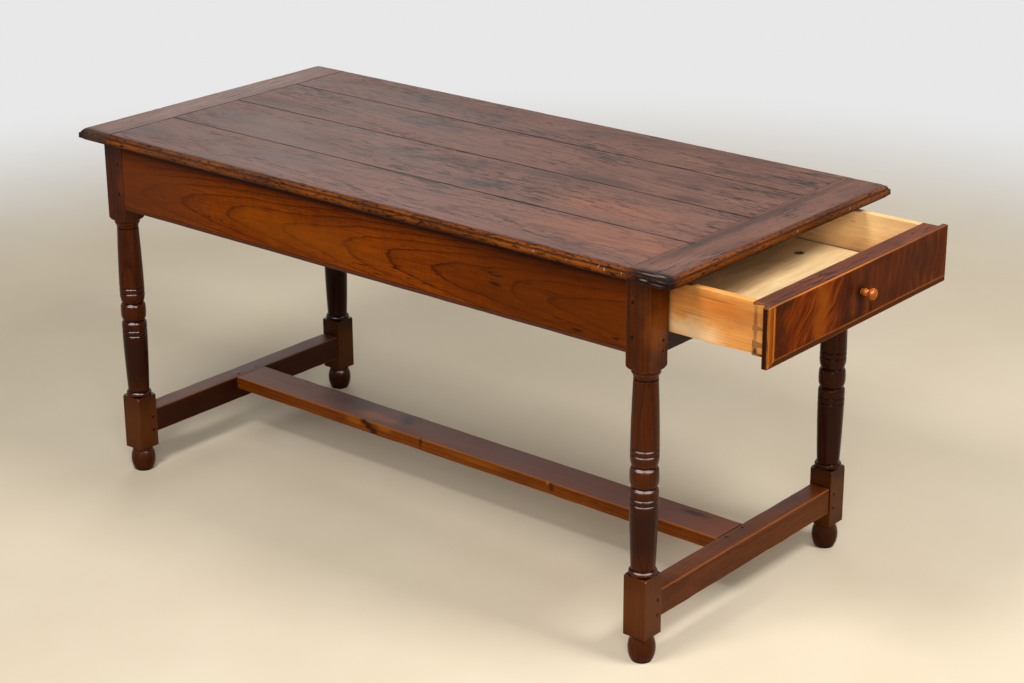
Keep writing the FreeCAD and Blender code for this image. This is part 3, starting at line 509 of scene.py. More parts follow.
def ring_lines(tree, place, local, ring, tilt, wander, swells):
    """Year rings where a board cuts them: 0 in the pale early wood, 1 on the dark late line."""
    across = add(tree, "Mapping", {"Scale": (0, 1, 1)}, {"Vector": local})
    reach = add(tree, "VectorMath", {"operation": "LENGTH"}, {0: across}).outputs["Value"]
    along = add(tree, "SeparateXYZ", {}, {"Vector": local}).outputs["X"]
    depth = add(tree, "Math", {"operation": "MULTIPLY_ADD", 1: -tilt}, {0: along, 2: reach})
    sway = streaks(tree, local, 420, 100)
    depth = add(tree, "Math", {"operation": "MULTIPLY_ADD", 1: wander}, {0: sway, 2: depth})
    for centre, size, lift in swells:
        hump = add(tree, "Mapping", {"vector_type": "TEXTURE", "Location": centre, "Scale": size},
                   {"Vector": place})
        hump = add(tree, "TexGradient", {"gradient_type": "QUADRATIC_SPHERE"}, {"Vector": hump})
        depth = add(tree, "Math", {"operation": "MULTIPLY_ADD", 1: lift}, {0: hump.outputs["Fac"], 2: depth})
    shiver = streaks(tree, local, 50, 7)
    depth = add(tree, "Math", {"operation": "MULTIPLY_ADD", 1: 0.25 * ring}, {0: shiver, 2: depth})
    count = add(tree, "Math", {"operation": "DIVIDE", 1: ring}, {0: depth})
    part = add(tree, "Math", {"operation": "FRACT"}, {0: count})
    return add(tree, "ValToRGB", {"stops": [(0, "#000000"), (0.5, "#262626"), (0.82, "#8c8c8c"),
                                            (0.93, "#ffffff"), (1, "#303030")]}, {"Fac": part})


print("grains", list(grain_turn))

# %% [markdown]
# What years add to wood: blooms of colour at known places, soft black stains, short black checks,
# arrises rubbed bright, dirt in hollows, and dirt with painted shade in corners. Each is a small step
# that takes the colour so far and gives it back changed, so that every finish below can use the steps
# it needs.

# %% Age on the wood
noise_reach = 0.05
exact_below = 0.03
dirt_and_shade_colour = "#120906"


def marks_at(axis, level, marks):
    """Blooms on one flat face: each is placed within the face, and the level puts it there."""
    return [(place[:axis] + (level,) + place[axis:], *rest) for place, *rest in marks]


def bloomed(tree, place, wood, blooms, local=None):
    """Lighter or darker places. Large ones are broken by noise and by the grain, small ones are exact."""
    broken = add(tree, "TexNoise", {"Scale": 22.0, "Detail": 3.0}, {"Vector": place})
    broken = add(tree, "VectorMath", {"operation": "MULTIPLY_ADD", 1: (noise_reach,) * 3},
                 {0: broken.outputs["Color"], 2: place})
    if local:
        grainy = streaks(tree, local, 90, 4, detail=4, shift=11)
        grainy = add(tree, "MapRange", {"From Min": 0.36, "From Max": 0.6, "To Min": 0.15, "To Max": 1.2},
                     {"Value": grainy})
    for centre, size, colour, share in blooms:
        exact = min(size) < exact_below
        # The noise has a mean of a half, so it shifts places by half its reach: the centre takes it back.
        centre = centre if exact else [c + noise_reach / 2 for c in centre]
        bloom = add(tree, "Mapping", {"vector_type": "TEXTURE", "Location": centre, "Scale": size},
                    {"Vector": place if exact else broken})
        bloom = add(tree, "TexGradient", {"gradient_type": "SPHERICAL"}, {"Vector": bloom})
        bloom = add(tree, "MapRange", {"interpolation_type": "SMOOTHSTEP", "From Max": 0.8, "To Max": share},
                    {"Value": bloom.outputs["Fac"]})
        if local and not exact:
            bloom = add(tree, "Math", {"operation": "MULTIPLY"}, {0: bloom, 1: grainy})
        wood = add(tree, "Mix", {"data_type": "RGBA", 7: colour}, {0: bloom, 6: wood})
    return wood


def stained(tree, local, wood, stain, dent, mark=(45, 4.5)):
    """Soft black clouds 140 mm long, and black checks of a given length and width that lie in groups."""
    cloud = streaks(tree, local, 140, 30, detail=5, shift=3)
    cloud = add(tree, "MapRange", {"From Min": 0.52, "From Max": 0.7, "To Max": stain}, {"Value": cloud})
    grainy = streaks(tree, local, 70, 3, detail=3, shift=13)
    grainy = add(tree, "MapRange", {"From Min": 0.38, "From Max": 0.6, "To Min": 0.1, "To Max": 1.3},
                 {"Value": grainy})
    cloud = add(tree, "Math", {"operation": "MULTIPLY", "use_clamp": True}, {0: cloud, 1: grainy})
    wood = add(tree, "Mix", {"data_type": "RGBA", 7: "#1c0f0a"}, {0: cloud, 6: wood})
    group = streaks(tree, local, 260, 60, shift=7)
    check = streaks(tree, local, *mark, shift=5)
    check = add(tree, "Math", {"operation": "MULTIPLY_ADD", 1: 0.55}, {0: group, 2: check})
    check = add(tree, "MapRange", {"From Min": 1.10 - 0.2 * dent, "From Max": 1.12 - 0.2 * dent},
                {"Value": check})
    dark = add(tree, "Math", {"operation": "MULTIPLY", 1: 0.88}, {0: check})
    return add(tree, "Mix", {"data_type": "RGBA", 7: "#0e0705"}, {0: dark, 6: wood}), check


def handled_and_shaded(tree, wood, fibre, rub, dirt_and_shade_reach, open_to=0.62):
    """Arrises rubbed bright, where a rounded-off normal differs from the true one, and dirt with painted
    shade in corners.

    The corner dark looks so many metres about, and lies where less than the given share of the sky is open."""
    soft = add(tree, "Bevel", {"samples": 4, "Radius": 0.003})
    face = add(tree, "NewGeometry").outputs["Normal"]
    turned_by = add(tree, "VectorMath", {"operation": "DOT_PRODUCT"}, {0: soft, 1: face}).outputs["Value"]
    arris = add(tree, "MapRange", {"From Min": 0.985, "From Max": 0.86, "To Max": 0.8}, {"Value": turned_by})
    gaps = add(tree, "MapRange", {"From Min": 0.38, "From Max": 0.6}, {"Value": fibre})
    arris = add(tree, "Math", {"operation": "MULTIPLY"}, {0: arris, 1: gaps})
    wood = add(tree, "Mix", {"data_type": "RGBA", 7: rub}, {0: arris, 6: wood})
    # Painted shade: where little of the sky is open, in corners and recesses, the wood is darkened along
    # with its dirt.
    corner = add(tree, "AmbientOcclusion", {"samples": 6, "Distance": dirt_and_shade_reach}).outputs["AO"]
    corner = add(tree, "MapRange", {"From Min": open_to, "From Max": open_to - 0.37, "To Max": 0.92},
                 {"Value": corner})
    wood = add(tree, "Mix", {"data_type": "RGBA", 7: dirt_and_shade_colour}, {0: corner, 6: wood})
    hollow = add(tree, "Attribute", {"attribute_name": "hollow"}).outputs["Fac"]
    hollow = add(tree, "MapRange", {"From Min": 0.35, "From Max": 1.0, "To Max": 0.75}, {"Value": hollow})
    return add(tree, "Mix", {"data_type": "RGBA", 7: dirt_and_shade_colour}, {0: hollow, 6: wood})


def waxed(tree, output, wood, height, dulling, rough, shine, relief=0.35):
    """The skin: a bump from the given heights, and wax that is duller where the pattern says."""
    bump = add(tree, "Bump", {"Strength": relief, "Distance": 0.0006}, {"Height": height})
    dull = add(tree, "MapRange", {"From Min": 0.3, "From Max": 0.7, "To Min": rough - 0.06,
                                  "To Max": rough + 0.1}, {"Value": dulling})
    skin = add(tree, "BsdfPrincipled", {"IOR": 1.5, "Specular IOR Level": shine},
               {"Base Color": wood, "Roughness": dull, "Normal": bump})
    tree.links.new(skin.outputs[0], output.inputs["Surface"])


print("steps of age", [step.__name__ for step in (bloomed, stained, handled_and_shaded, waxed)])

# %% [markdown]
# The moulded rim of the top has a life of its own: its thumb is dark and polished by sleeves, its lower
# face is rubbed back to orange wood, and black chips lie along it. The black lines at its lowest arris
# and on its ledge are painted shade, with dirt.

# %% Wear on the moulding's finish
rim_begins, rim_full = -0.0115, -0.0085
# Settings of a mix that multiplies the wood's colour by a tone.
multiplied = {"data_type": "RGBA", "blend_type": "MULTIPLY", 0: 1.0}


def rim_wear_and_shade(tree, place, local, wood):
    """Colours the moulding by how far out and how high a point lies."""
    spot = add(tree, "SeparateXYZ", {}, {"Vector": place}).outputs
    far_x = add(tree, "Math", {"operation": "ABSOLUTE"}, {0: spot["X"]})
    far_x = add(tree, "Math", {"operation": "SUBTRACT", 1: table_end}, {0: far_x})
    far_y = add(tree, "Math", {"operation": "ABSOLUTE"}, {0: spot["Y"]})
    far_y = add(tree, "Math", {"operation": "ADD", 1: front_edge}, {0: far_y})
    out = add(tree, "Math", {"operation": "MAXIMUM"}, {0: far_x, 1: far_y})
    rim = add(tree, "MapRange", {"From Min": rim_begins, "From Max": rim_full}, {"Value": out})
    # From the lower face up: a black arris, brown, orange, a black line on the ledge, then the thumb. The
    # two black bands are painted shade with dirt.
    by_height = add(tree, "MapRange", {"From Min": mould_foot, "From Max": mould_head}, {"Value": spot["Z"]})
    paint = add(tree, "ValToRGB", {"stops": [(0.05, "#140a05"), (0.16, "#602e06"), (0.5, "#8c4608"),
                                             (0.62, "#160904"), (0.74, "#7c3e0a"), (0.95, "#4e2a18")]},
                {"Fac": by_height})
    tone = streaks(tree, local, 160, 40, detail=3, shift=9)
    tone = add(tree, "MapRange", {"From Min": 0.36, "From Max": 0.64, "To Min": 0.45, "To Max": 1.15},
               {"Value": tone})
    paint = add(tree, "Mix", multiplied, {6: paint, 7: tone})
    chip = streaks(tree, local, 13, 3, detail=3, shift=2)
    chip = add(tree, "MapRange", {"From Min": 0.55, "From Max": 0.6, "To Max": 0.95}, {"Value": chip})
    paint = add(tree, "Mix", {"data_type": "RGBA", 7: "#0c0503"}, {0: chip, 6: paint})
    return add(tree, "Mix", {"data_type": "RGBA"}, {0: rim, 6: wood, 7: paint})


print("rim from", round(1000 * mould_foot), "mm up")

# %% [markdown]
# The recipe for sawn, planed and waxed wood puts these steps in order. Fibres are 2.4 mm wide and pores
# 1 to 3 mm, both coarser than real so that they show, and a faint ripple crosses the grain every 4 mm,
# as it does in walnut that grew in the wind.

# %% The recipe for old wood


def old_wood(name, grain, heart, pale, deep, rub, ring=0.007, tilt=0.0, wander=0.015, contrast=0.8,
             ripple=0.1, swells=(), blooms=(), pore=(18, 1.05), stain=0.3, dent=0.3, mark=(45, 4.5),
             rough=0.38, shine=0.1, dirt_and_shade_reach=0.02, open_to=0.62, relief=0.35, seed=0.0, rim=False):
    """Sawn and finished wood: rings, fibres, pores, tones, stains, dirt, painted shade in corners and rubbed
    edges.
    """
    material, tree, output, place = fresh_material(name)
    # Across the grain the pattern is measured from the heart, along it from a place of its own.
    local = add(tree, "Mapping", {"Location": (seed, -heart[0], -heart[1]), "Rotation": grain_turn[grain]},
                {"Vector": place})
    rings = ring_lines(tree, place, local, ring, tilt, wander, swells)
    fibre = streaks(tree, local, 80, 2.4, detail=3)
    pores = streaks(tree, local, *pore, detail=1)
    pores = add(tree, "MapRange", {"From Min": 0.58, "From Max": 0.74}, {"Value": pores})
    crossways = streaks(tree, local, 4, 70)
    patch = streaks(tree, local, 310, 80, detail=4)

    shown = add(tree, "MapRange", {"From Min": 0.36, "From Max": 0.6, "To Min": 0.45 * contrast,
                                   "To Max": contrast}, {"Value": fibre})
    lines = add(tree, "Math", {"operation": "MULTIPLY"}, {0: rings, 1: shown})
    wood = add(tree, "Mix", {"data_type": "RGBA", 6: pale, 7: deep}, {0: lines})
    streak = add(tree, "MapRange", {"From Min": 0.3, "From Max": 0.7, "To Min": 1 - 0.33 * contrast,
                                    "To Max": 1 + 0.25 * contrast}, {"Value": fibre})
    wood = add(tree, "Mix", multiplied, {6: wood, 7: streak})
    shimmer = add(tree, "MapRange", {"From Min": 0.3, "From Max": 0.7, "To Min": 1 - ripple,
                                     "To Max": 1 + ripple}, {"Value": crossways})
    wood = add(tree, "Mix", multiplied, {6: wood, 7: shimmer})
    tone = add(tree, "ValToRGB", {"stops": [(0.3, "#c0a89c"), (0.5, "#ece4de"), (0.7, "#ffffff")]},
               {"Fac": patch})
    wood = add(tree, "Mix", multiplied, {6: wood, 7: tone})
    specks = add(tree, "Math", {"operation": "MULTIPLY", 1: 0.55}, {0: pores})
    wood = add(tree, "Mix", {"data_type": "RGBA", 7: deep}, {0: specks, 6: wood})
    wood, check = stained(tree, local, wood, stain, dent, mark)
    if rim:
        wood = rim_wear_and_shade(tree, place, local, wood)
    if blooms:
        wood = bloomed(tree, place, wood, blooms, local if rim else None)
    wood = handled_and_shaded(tree, wood, fibre, rub, dirt_and_shade_reach, open_to)
    height = add(tree, "Math", {"operation": "MULTIPLY_ADD", 1: -0.5}, {0: pores, 2: fibre})
    height = add(tree, "Math", {"operation": "MULTIPLY_ADD", 1: -2.0}, {0: check, 2: height})
    waxed(tree, output, wood, height, patch, rough, shine, relief)
    return material


def dress(material, *names):
    """Gives the material to the named pieces, worn or plain."""
    for name in names:
        for slot in worn.get(name, node[name]).material_slots:
            slot.material = material
    print(material.name, "on", len(names))


print("recipe", old_wood.__doc__)

# %% [markdown]
# The top: four broad boards with the grain along the table, held at each end by a breadboard whose
# grain runs across. Planed by hand and waxed for two hundred years, the walnut is brown and a little
# grey, with black stains, dents in rows along the grain and a low, hazy shine. Towards the blind end a
# painted grey sheen lies over it.

# %% Finish the planks
top_tones = {"pale": "#6d4c40", "deep": "#3e241a", "rub": "#5c3a28", "shine": 0.07, "rough": 0.42,
             "ring": 0.006, "tilt": 0.03, "contrast": 0.8, "ripple": 0.06, "stain": 0.36, "dent": 1.08,
             "mark": (34, 3.4), "pore": (15, 3.0), "rim": True}
old_wax = "#0c0604"
painted_grey_sheen = "#5c4a42"
red_glow = "#8a5238"


def crack(x, y, length, width, share=1.2):
    """A dark line along the planks: a joint packed with old wax, or a split."""
    return (x, y, top_level), (length, width, 0.02), old_wax, share


def stain_and_sheen_patch(x, y, length, width, share=0.5, colour="#2a1912"):
    """A stain with a broken outline; given the grey sheen colour, a painted sheen."""
    return (x, y, top_level), (length, width, 0.2), colour, share


near_joint, middle_joint, far_joint = [crack(0, seam, 2.4, 0.0033) for seam in plank_seams]
mould_face = -0.354
# Painted glints: small pale spots on the dented arris of the near moulding.
painted_glints = ((0.465, 0.754, 0.002, 0.003), (0.539, 0.754, 0.0015, 0.002), (0.609, 0.7555, 0.0015, 0.0035),
              (0.622, 0.7535, 0.002, 0.004), (0.659, 0.754, 0.002, 0.003))
near_marks = [((x, mould_face, z), (wide, 0.006, high), "#b8b0a8", 0.75) for x, z, wide, high in painted_glints]
near_marks += [
    near_joint, crack(-0.02, -0.178, 0.1, 0.007, 0.8), crack(0.3, -0.178, 0.08, 0.004, 0.8),
    stain_and_sheen_patch(-0.62, -0.28, 0.09, 0.06, 0.6), stain_and_sheen_patch(-0.5, -0.29, 0.13, 0.04),
    stain_and_sheen_patch(-0.28, -0.24, 0.2, 0.05, 0.3),
    # Painted sheen: a broad grey patch towards the blind end.
    stain_and_sheen_patch(-0.4, -0.26, 0.4, 0.15, 0.4, painted_grey_sheen),
    stain_and_sheen_patch(0.55, -0.23, 0.25, 0.1, 0.45, red_glow),
]
second_marks = [
    near_joint, middle_joint, crack(-0.607, -0.084, 0.012, 0.006),
    crack(-0.422, -0.024, 0.03, 0.005), crack(-0.333, -0.115, 0.012, 0.004),
    stain_and_sheen_patch(-0.57, -0.09, 0.12, 0.07, 0.45), stain_and_sheen_patch(0.05, -0.035, 0.16, 0.04, 0.55),
    stain_and_sheen_patch(0.22, -0.005, 0.16, 0.03, 0.6), stain_and_sheen_patch(-0.3, -0.1, 0.3, 0.05, 0.3),
    # Painted sheen: a broad grey patch towards the blind end.
    stain_and_sheen_patch(-0.4, -0.08, 0.4, 0.15, 0.4, painted_grey_sheen),
    stain_and_sheen_patch(0.45, -0.1, 0.2, 0.07, 0.35, red_glow),
]
third_marks = [
    middle_joint, far_joint, crack(-0.5, 0.107, 0.2, 0.0016), crack(-0.2, 0.115, 0.25, 0.0016),
    crack(0.1, 0.135, 0.2, 0.0016), stain_and_sheen_patch(-0.6, 0.04, 0.12, 0.07, 0.6),
    stain_and_sheen_patch(-0.46, 0.07, 0.1, 0.05, 0.5), stain_and_sheen_patch(-0.25, 0.15, 0.3, 0.04, 0.4),
    stain_and_sheen_patch(0.32, 0.03, 0.14, 0.025, 0.6), stain_and_sheen_patch(0.52, 0.035, 0.07, 0.025, 0.6),
]
far_marks = [
    far_joint, crack(0.02, 0.193, 0.13, 0.005, 0.9), crack(0.39, 0.193, 0.05, 0.005),
    stain_and_sheen_patch(0.5, 0.225, 0.12, 0.03, 0.6), stain_and_sheen_patch(0.48, 0.325, 0.1, 0.03, 0.55),
    stain_and_sheen_patch(-0.3, 0.28, 0.35, 0.07, 0.4), stain_and_sheen_patch(0.2, 0.3, 0.25, 0.05, 0.4),
]
plank_finishes = (("near", (-0.27, 0.60), 0.3, near_marks), ("second", (-0.06, 0.62), 2.1, second_marks),
                  ("third", (0.12, 0.63), 4.4, third_marks), ("far", (0.28, 0.61), 6.2, far_marks))
for piece, (title, heart, seed, marks) in zip(plank_names, plank_finishes):
    walnut = old_wood("waxed_walnut_" + title + "_plank", "X", heart, seed=seed, blooms=marks, **top_tones)
    dress(walnut, piece)

# %% [markdown]
# The breadboards share those tones. Their near corners are blackened and carry thin painted highlights,
# the joints with the planks are packed with wax, and a few painted glints lie on the moulding. The
# blind-end breadboard is greyed by a painted reflection.

# %% Finish the breadboards
painted_highlight_line = "#8a7c74"
end_marks = [
    ((0.73, -0.353, 0.757), (0.085, 0.029, 0.06), "#1a0d09", 1.3),
    ((-0.73, -0.353, 0.757), (0.085, 0.029, 0.06), "#2a160d", 1.2),
    ((0.676, -0.174, 0.764), (0.012, 0.014, 0.02), "#120a07", 0.9),
    ((0.676, 0.016, 0.764), (0.010, 0.02, 0.02), "#120a07", 0.8),
    ((0.686, 0, 0.765), (0.018, 0.5, 0.05), "#241713", 0.6),
    # Painted reflection: the blind-end breadboard is made paler and greyer.
    ((-0.72, 0.05, 0.765), (0.08, 0.6, 0.1), "#8e7468", 0.5),
    ((0.716, -0.27, 0.765), (0.0018, 0.09, 0.02), "#8a6248", 0.5),
    # Painted highlights: thin pale lines along the blackened near corner at the drawer end.
    ((0.740, -0.3475, 0.7635), (0.025, 0.0016, 0.0016), painted_highlight_line, 0.7),
    ((0.745, -0.3555, 0.7565), (0.016, 0.003, 0.0014), painted_highlight_line, 0.7),
    ((0.715, -0.3500, 0.7620), (0.035, 0.002, 0.0016), "#7a6c66", 0.7),
    ((0.706, -0.3555, 0.7520), (0.012, 0.003, 0.0020), painted_highlight_line, 0.8),
    ((0.735, -0.3555, 0.7490), (0.020, 0.003, 0.0014), "#6a5c56", 0.8),
]
end_marks += [((x, 0, 0.765), (0.0026, 1.2, 0.02), old_wax, 1.1) for x in (plank_end, -plank_end)]
# Painted glints: two pale spots on the end moulding.
end_marks += [((0.760, y, 0.7525), (0.006, 0.003, 0.004), "#b4aeaa", 0.7) for y in (0.033, 0.208)]
dress(old_wood("waxed_walnut_breadboards", "Y", (0, 0.62), seed=8.3, blooms=end_marks, **top_tones),
      "breadboard_drawer_end", "breadboard_blind_end")

# %% [markdown]
# The rails are flat-sawn, so the near one shows nested arches that open towards the drawer, with an
# orange glow between them. The rail under the drawer is painted almost black, as painted shade under the
# drawer box.

# %% Finish the rails
rail_face = -0.333
rail_tones = {"pale": "#7c3802", "deep": "#2e0c01", "rub": "#8a420c", "ring": 0.007, "tilt": 0.05,
              "contrast": 1.0, "pore": (22, 2.6), "stain": 0.25, "dent": 0.55, "shine": 0.035}
rail_swells = (((0.36, rail_face, 0.660), (0.14, 0.3, 0.06), 0.007),)
rail_marks = marks_at(1, rail_face, [
    ((-0.62, 0.67), (0.30, 0.2, 0.2), "#5e2e14", 0.7),
    ((-0.20, 0.652), (0.20, 0.1, 0.05), "#964e06", 0.3),
    ((-0.06, 0.655), (0.16, 0.1, 0.06), "#904a0c", 0.3),
    ((0.50, 0.66), (0.40, 0.2, 0.2), "#4a1e02", 0.7),
    ((0.357, 0.662), (0.022, 0.1, 0.006), "#230f06", 0.85),
    ((0.546, 0.618), (0.020, 0.1, 0.004), "#180a05", 0.8),
    ((0.632, 0.622), (0.012, 0.1, 0.004), "#180a05", 0.8),
    # Painted shadow of the overhanging top: a black band along the rail's upper edge, with dirt in it.
    ((0, 0.744), (2.0, 0.1, 0.027), "#100704", 1.1),
    ((0, 0.6035), (2.0, 0.1, 0.009), "#4a2c22", 1.0),
])
dress(old_wood("waxed_walnut_near_rail", "X", (-0.25, 0.66), swells=rail_swells, blooms=rail_marks, seed=1.2,
               **rail_tones), "side_rail_near")
dress(old_wood("waxed_walnut_far_rail", "X", (0.25, 0.67), seed=5.2, **rail_tones), "side_rail_far")
dress(old_wood("waxed_walnut_end_rail", "Y", (0.62, 0.67), seed=3.2, **rail_tones), "end_rail")
# Painted shade: the rail under the drawer gets near-black colours for the shade of the drawer box.
dress(old_wood("walnut_drawer_rail_in_painted_shade", "Y", (0.62, 0.67), seed=3.9, pale="#2e1708", deep="#1c0d05",
               rub="#5a2c0c", shine=0.1), "drawer_rail")

# %% [markdown]
# The legs were turned from dark straight walnut and polished on the lathe, so they are the shiniest
# pieces: each ball and ring catches the light. The square blocks kept more of the orange tone, and the
# face of each upper block towards the drawer end is painted more orange, as painted light on that side.
# The two far legs are darker than the near ones; at the drawer end this is painted shade under the drawer.

# %% Finish the legs
# Close, strong corner darkening on the legs puts dirt and painted shade in the grooves.
leg_tones = {"deep": "#2b0f02", "rub": "#8a4008", "stain": 0.3, "dent": 0.3, "rough": 0.15, "shine": 0.08,
             "relief": 0.08, "ring": 0.006, "contrast": 1.0, "dirt_and_shade_reach": 0.007, "open_to": 0.92}
groove_heights = (0.053, 0.186, 0.3160, 0.3273, 0.3482, 0.3882, 0.4114, 0.4227, 0.5540)
leg_x, leg_y = 0.68, 0.308
# The darker tone of the far drawer-end leg is painted shade under the drawer.
legs = (("drawer_end_near", leg_x, -leg_y, "#4c2002"), ("drawer_end_far", leg_x, leg_y, "#3a1803"),
        ("blind_end_near", -leg_x, -leg_y, "#4c2002"), ("blind_end_far", -leg_x, leg_y, "#341604"))
for corner_name, x, y, pale in legs:
    # Painted light: the upper block's face towards the drawer end is made more orange, over the wood's own
    # orange.
    leg_marks = [((x + 0.027, y, 0.66), (0.03, 0.05, 0.09), "#7a3c08", 0.5),
                 ((x, y, 0.265), (0.2, 0.2, 0.11), "#280f06", 0.9),
                 ((x, y, 0.105), (0.2, 0.2, 0.09), "#663812", 0.45)]
    # Every groove of the turning is black: old wax, with painted shade under the groove's wall.
    leg_marks += [((x, y, height), (0.2, 0.2, 0.0026), "#0a0402", 1.5) for height in groove_heights]
    # The heart stands outside the leg. Turned to the grain, the cross axes are Y and minus X.
    dress(old_wood("turned_walnut_leg_" + corner_name, "Z", (y + 0.05, -x + 0.04), pale, seed=3 * x + y,
                   blooms=leg_marks, **leg_tones), "leg_" + corner_name)

# %% [markdown]
# Stretchers: the long flat one has been a foot rest, so its top is scuffed to a dull mauve brown, its
# upper arris is rubbed bright and carries a painted highlight, and a slanting dark mark and two nicks lie on
# its near face.

# %% Finish the stretchers and pegs
long_top, long_face = 0.138, -0.0435
foot_scuff, wood_glow, dark_nick = "#9a5632", "#a4600e", "#1c0c06"
stretcher_tones = {"deep": "#3c1804", "rub": "#9a5210", "stain": 0.35, "dent": 0.4, "shine": 0.07}
long_marks = [
    ((0, 0, long_top), (2.0, 0.3, 0.005), "#643a2a", 0.7),
    # The upper front arris: rubbed wood with a painted highlight.
    ((0, -0.043, 0.1375), (2.0, 0.004, 0.004), "#b4641c", 0.7),
    ((-0.35, 0.02, long_top), (0.12, 0.06, 0.05), "#341a12", 0.6),
    ((-0.265, -0.012, long_top), (0.05, 0.028, 0.03), foot_scuff, 0.6),
    ((-0.215, -0.015, long_top), (0.03, 0.02, 0.03), foot_scuff, 0.5),
    ((-0.290, long_face, 0.128), (0.04, 0.01, 0.010), wood_glow, 0.6),
    ((-0.205, long_face, 0.132), (0.03, 0.01, 0.010), wood_glow, 0.6),
    ((0.05, long_face, 0.127), (0.12, 0.01, 0.008), wood_glow, 0.4),
    ((-0.185, 0.015, long_top), (0.04, 0.032, 0.03), "#1c0c08", 0.9),
]
long_marks += [((x, long_face, z), (0.016, 0.01, 0.012), dark_nick, 0.9)
               for x, z in ((-0.264, 0.134), (-0.250, 0.126), (-0.236, 0.118))]
long_marks += [((-0.101, long_face, 0.130), (0.006, 0.008, 0.020), dark_nick, 0.8),
               ((0.243, long_face, 0.134), (0.006, 0.008, 0.006), "#c06a10", 0.8),
               ((0.253, long_face, 0.127), (0.010, 0.008, 0.016), "#2a1208", 0.8),
               ((0.56, 0.022, long_top), (0.05, 0.012, 0.02), "#24110b", 0.9)]
# The drawer-end stretcher's upper arris: rubbed wood with a painted highlight.
drawer_end_arris = [((0.7015, 0, 0.1375), (0.004, 2.0, 0.004), "#a85a18", 0.5)]
blind_end_top = [((-0.68, 0, 0.138), (0.3, 2.0, 0.005), "#5e3826", 0.8)]
dress(old_wood("scuffed_walnut_long_stretcher", "X", (0.02, 0.05), "#84440c", seed=0.7, blooms=long_marks,
               **stretcher_tones), "long_stretcher")
dress(old_wood("scuffed_walnut_drawer_end_stretcher", "Y", (0.0, 0.05), "#643412", seed=0.9,
               blooms=drawer_end_arris, **stretcher_tones), "end_stretcher_drawer_end")
dress(old_wood("scuffed_walnut_blind_end_stretcher", "Y", (0.0, 0.05), "#38190a", seed=1.9,
               blooms=blind_end_top, **stretcher_tones), "end_stretcher_blind_end")
dress(old_wood("riven_oak_pegs", "Z", (0.9, 0.9), pale="#2e180c", deep="#1a0d06", rub="#2e1a0c", shine=0.03,
               seed=2.0), "breadboard_pegs", "side_rail_pegs", "end_rail_pegs", "drawer_rail_pegs",
      "end_stretcher_pegs", "long_stretcher_pegs", "bearer_pegs")

# %% [markdown]
# The drawer is a box of bare pine, planed and never finished. Handling and air turned its near side
# orange in streaks, while the bottom and the inside stayed straw coloured.

# %% Finish the pine of the drawer
pine_tones = {"stain": 0.12, "dent": 0.0, "rough": 0.6, "shine": 0.2, "ring": 0.009, "contrast": 0.45,
              "ripple": 0.0, "wander": 0.03}
deep_gap = "#1c0f08"
side_face = -0.2788
side_marks = marks_at(1, side_face, [
    ((0.81, 0.705), (0.10, 0.05, 0.035), "#c06a22", 0.65),
    ((0.75, 0.650), (0.09, 0.05, 0.035), "#f2d8ac", 0.6),
    # Painted shadow of the top: two dark patches at the upper end of the near side.
    ((0.74, 0.727), (0.06, 0.05, 0.03), "#8a5a2c", 0.5),
    ((0.70, 0.733), (0.05, 0.05, 0.02), "#5a3a1c", 0.6),
    ((0.80, 0.6235), (0.13, 0.02, 0.005), "#8a5420", 0.6),
    ((0.80, 0.7165), (0.07, 0.02, 0.0025), "#8a5a2a", 0.7),
    ((0.76, 0.681), (0.06, 0.02, 0.002), "#9a6430", 0.6),
    ((0.884, 0.69), (0.006, 0.02, 0.06), "#3a2010", 0.6),
    ((0.884, 0.642), (0.008, 0.02, 0.018), "#1a0e08", 0.9),
])
far_side_gap = [((0.75, 0.2618, 0.652), (0.4, 0.003, 0.002), deep_gap, 0.9)]
bottom_marks = [((0.6698, 0.186, 0.650), (0.013, 0.013, 0.013), deep_gap, 2.4),
                ((0.75, 0.2618, 0.652), (0.4, 0.002, 0.004), deep_gap, 0.9)]
dress(old_wood("bare_pine_near_side", "X", (-0.20, 0.6), pale="#e09c50", deep="#ba702a", rub="#c07a38",
               seed=0.2, blooms=side_marks, **pine_tones), "drawer_side_near")
dress(old_wood("bare_pine_far_side", "X", (0.20, 0.6), pale="#eec68c", deep="#d8a05e", rub="#e0ae6c",
               seed=0.9, blooms=far_side_gap, **pine_tones), "drawer_side_far")
dress(old_wood("bare_pine_bottom", "Y", (0.62, 0.55), pale="#ffe0a8", deep="#f0c080", rub="#f0c080",
               seed=0.4, blooms=bottom_marks, **pine_tones),
      "drawer_bottom_front", "drawer_bottom_rear", "drawer_back")
dress(old_wood("dusty_pine_hidden_pieces", "X", (0.0, 0.55), pale="#b98f5c", deep="#8a6236", rub="#a5814f",
               seed=0.6, **pine_tones), "drawer_runner_near", "drawer_runner_far", "drawer_guide_near",
      "drawer_guide_far", "drawer_kicker_near", "drawer_kicker_far", "top_bearer_front", "top_bearer_rear",
      "upper_rail", "glue_blocks")

# %% [markdown]
# The drawer's face is a sheet of walnut veneer cut through a crotch, where the trunk forks: flames rise
# to the right towards a dark seam left of the knob, and beyond it the wood is plain and redder.
# Rings don't draw that, so this finish leans two sets of streaks at their own angles and joins them.

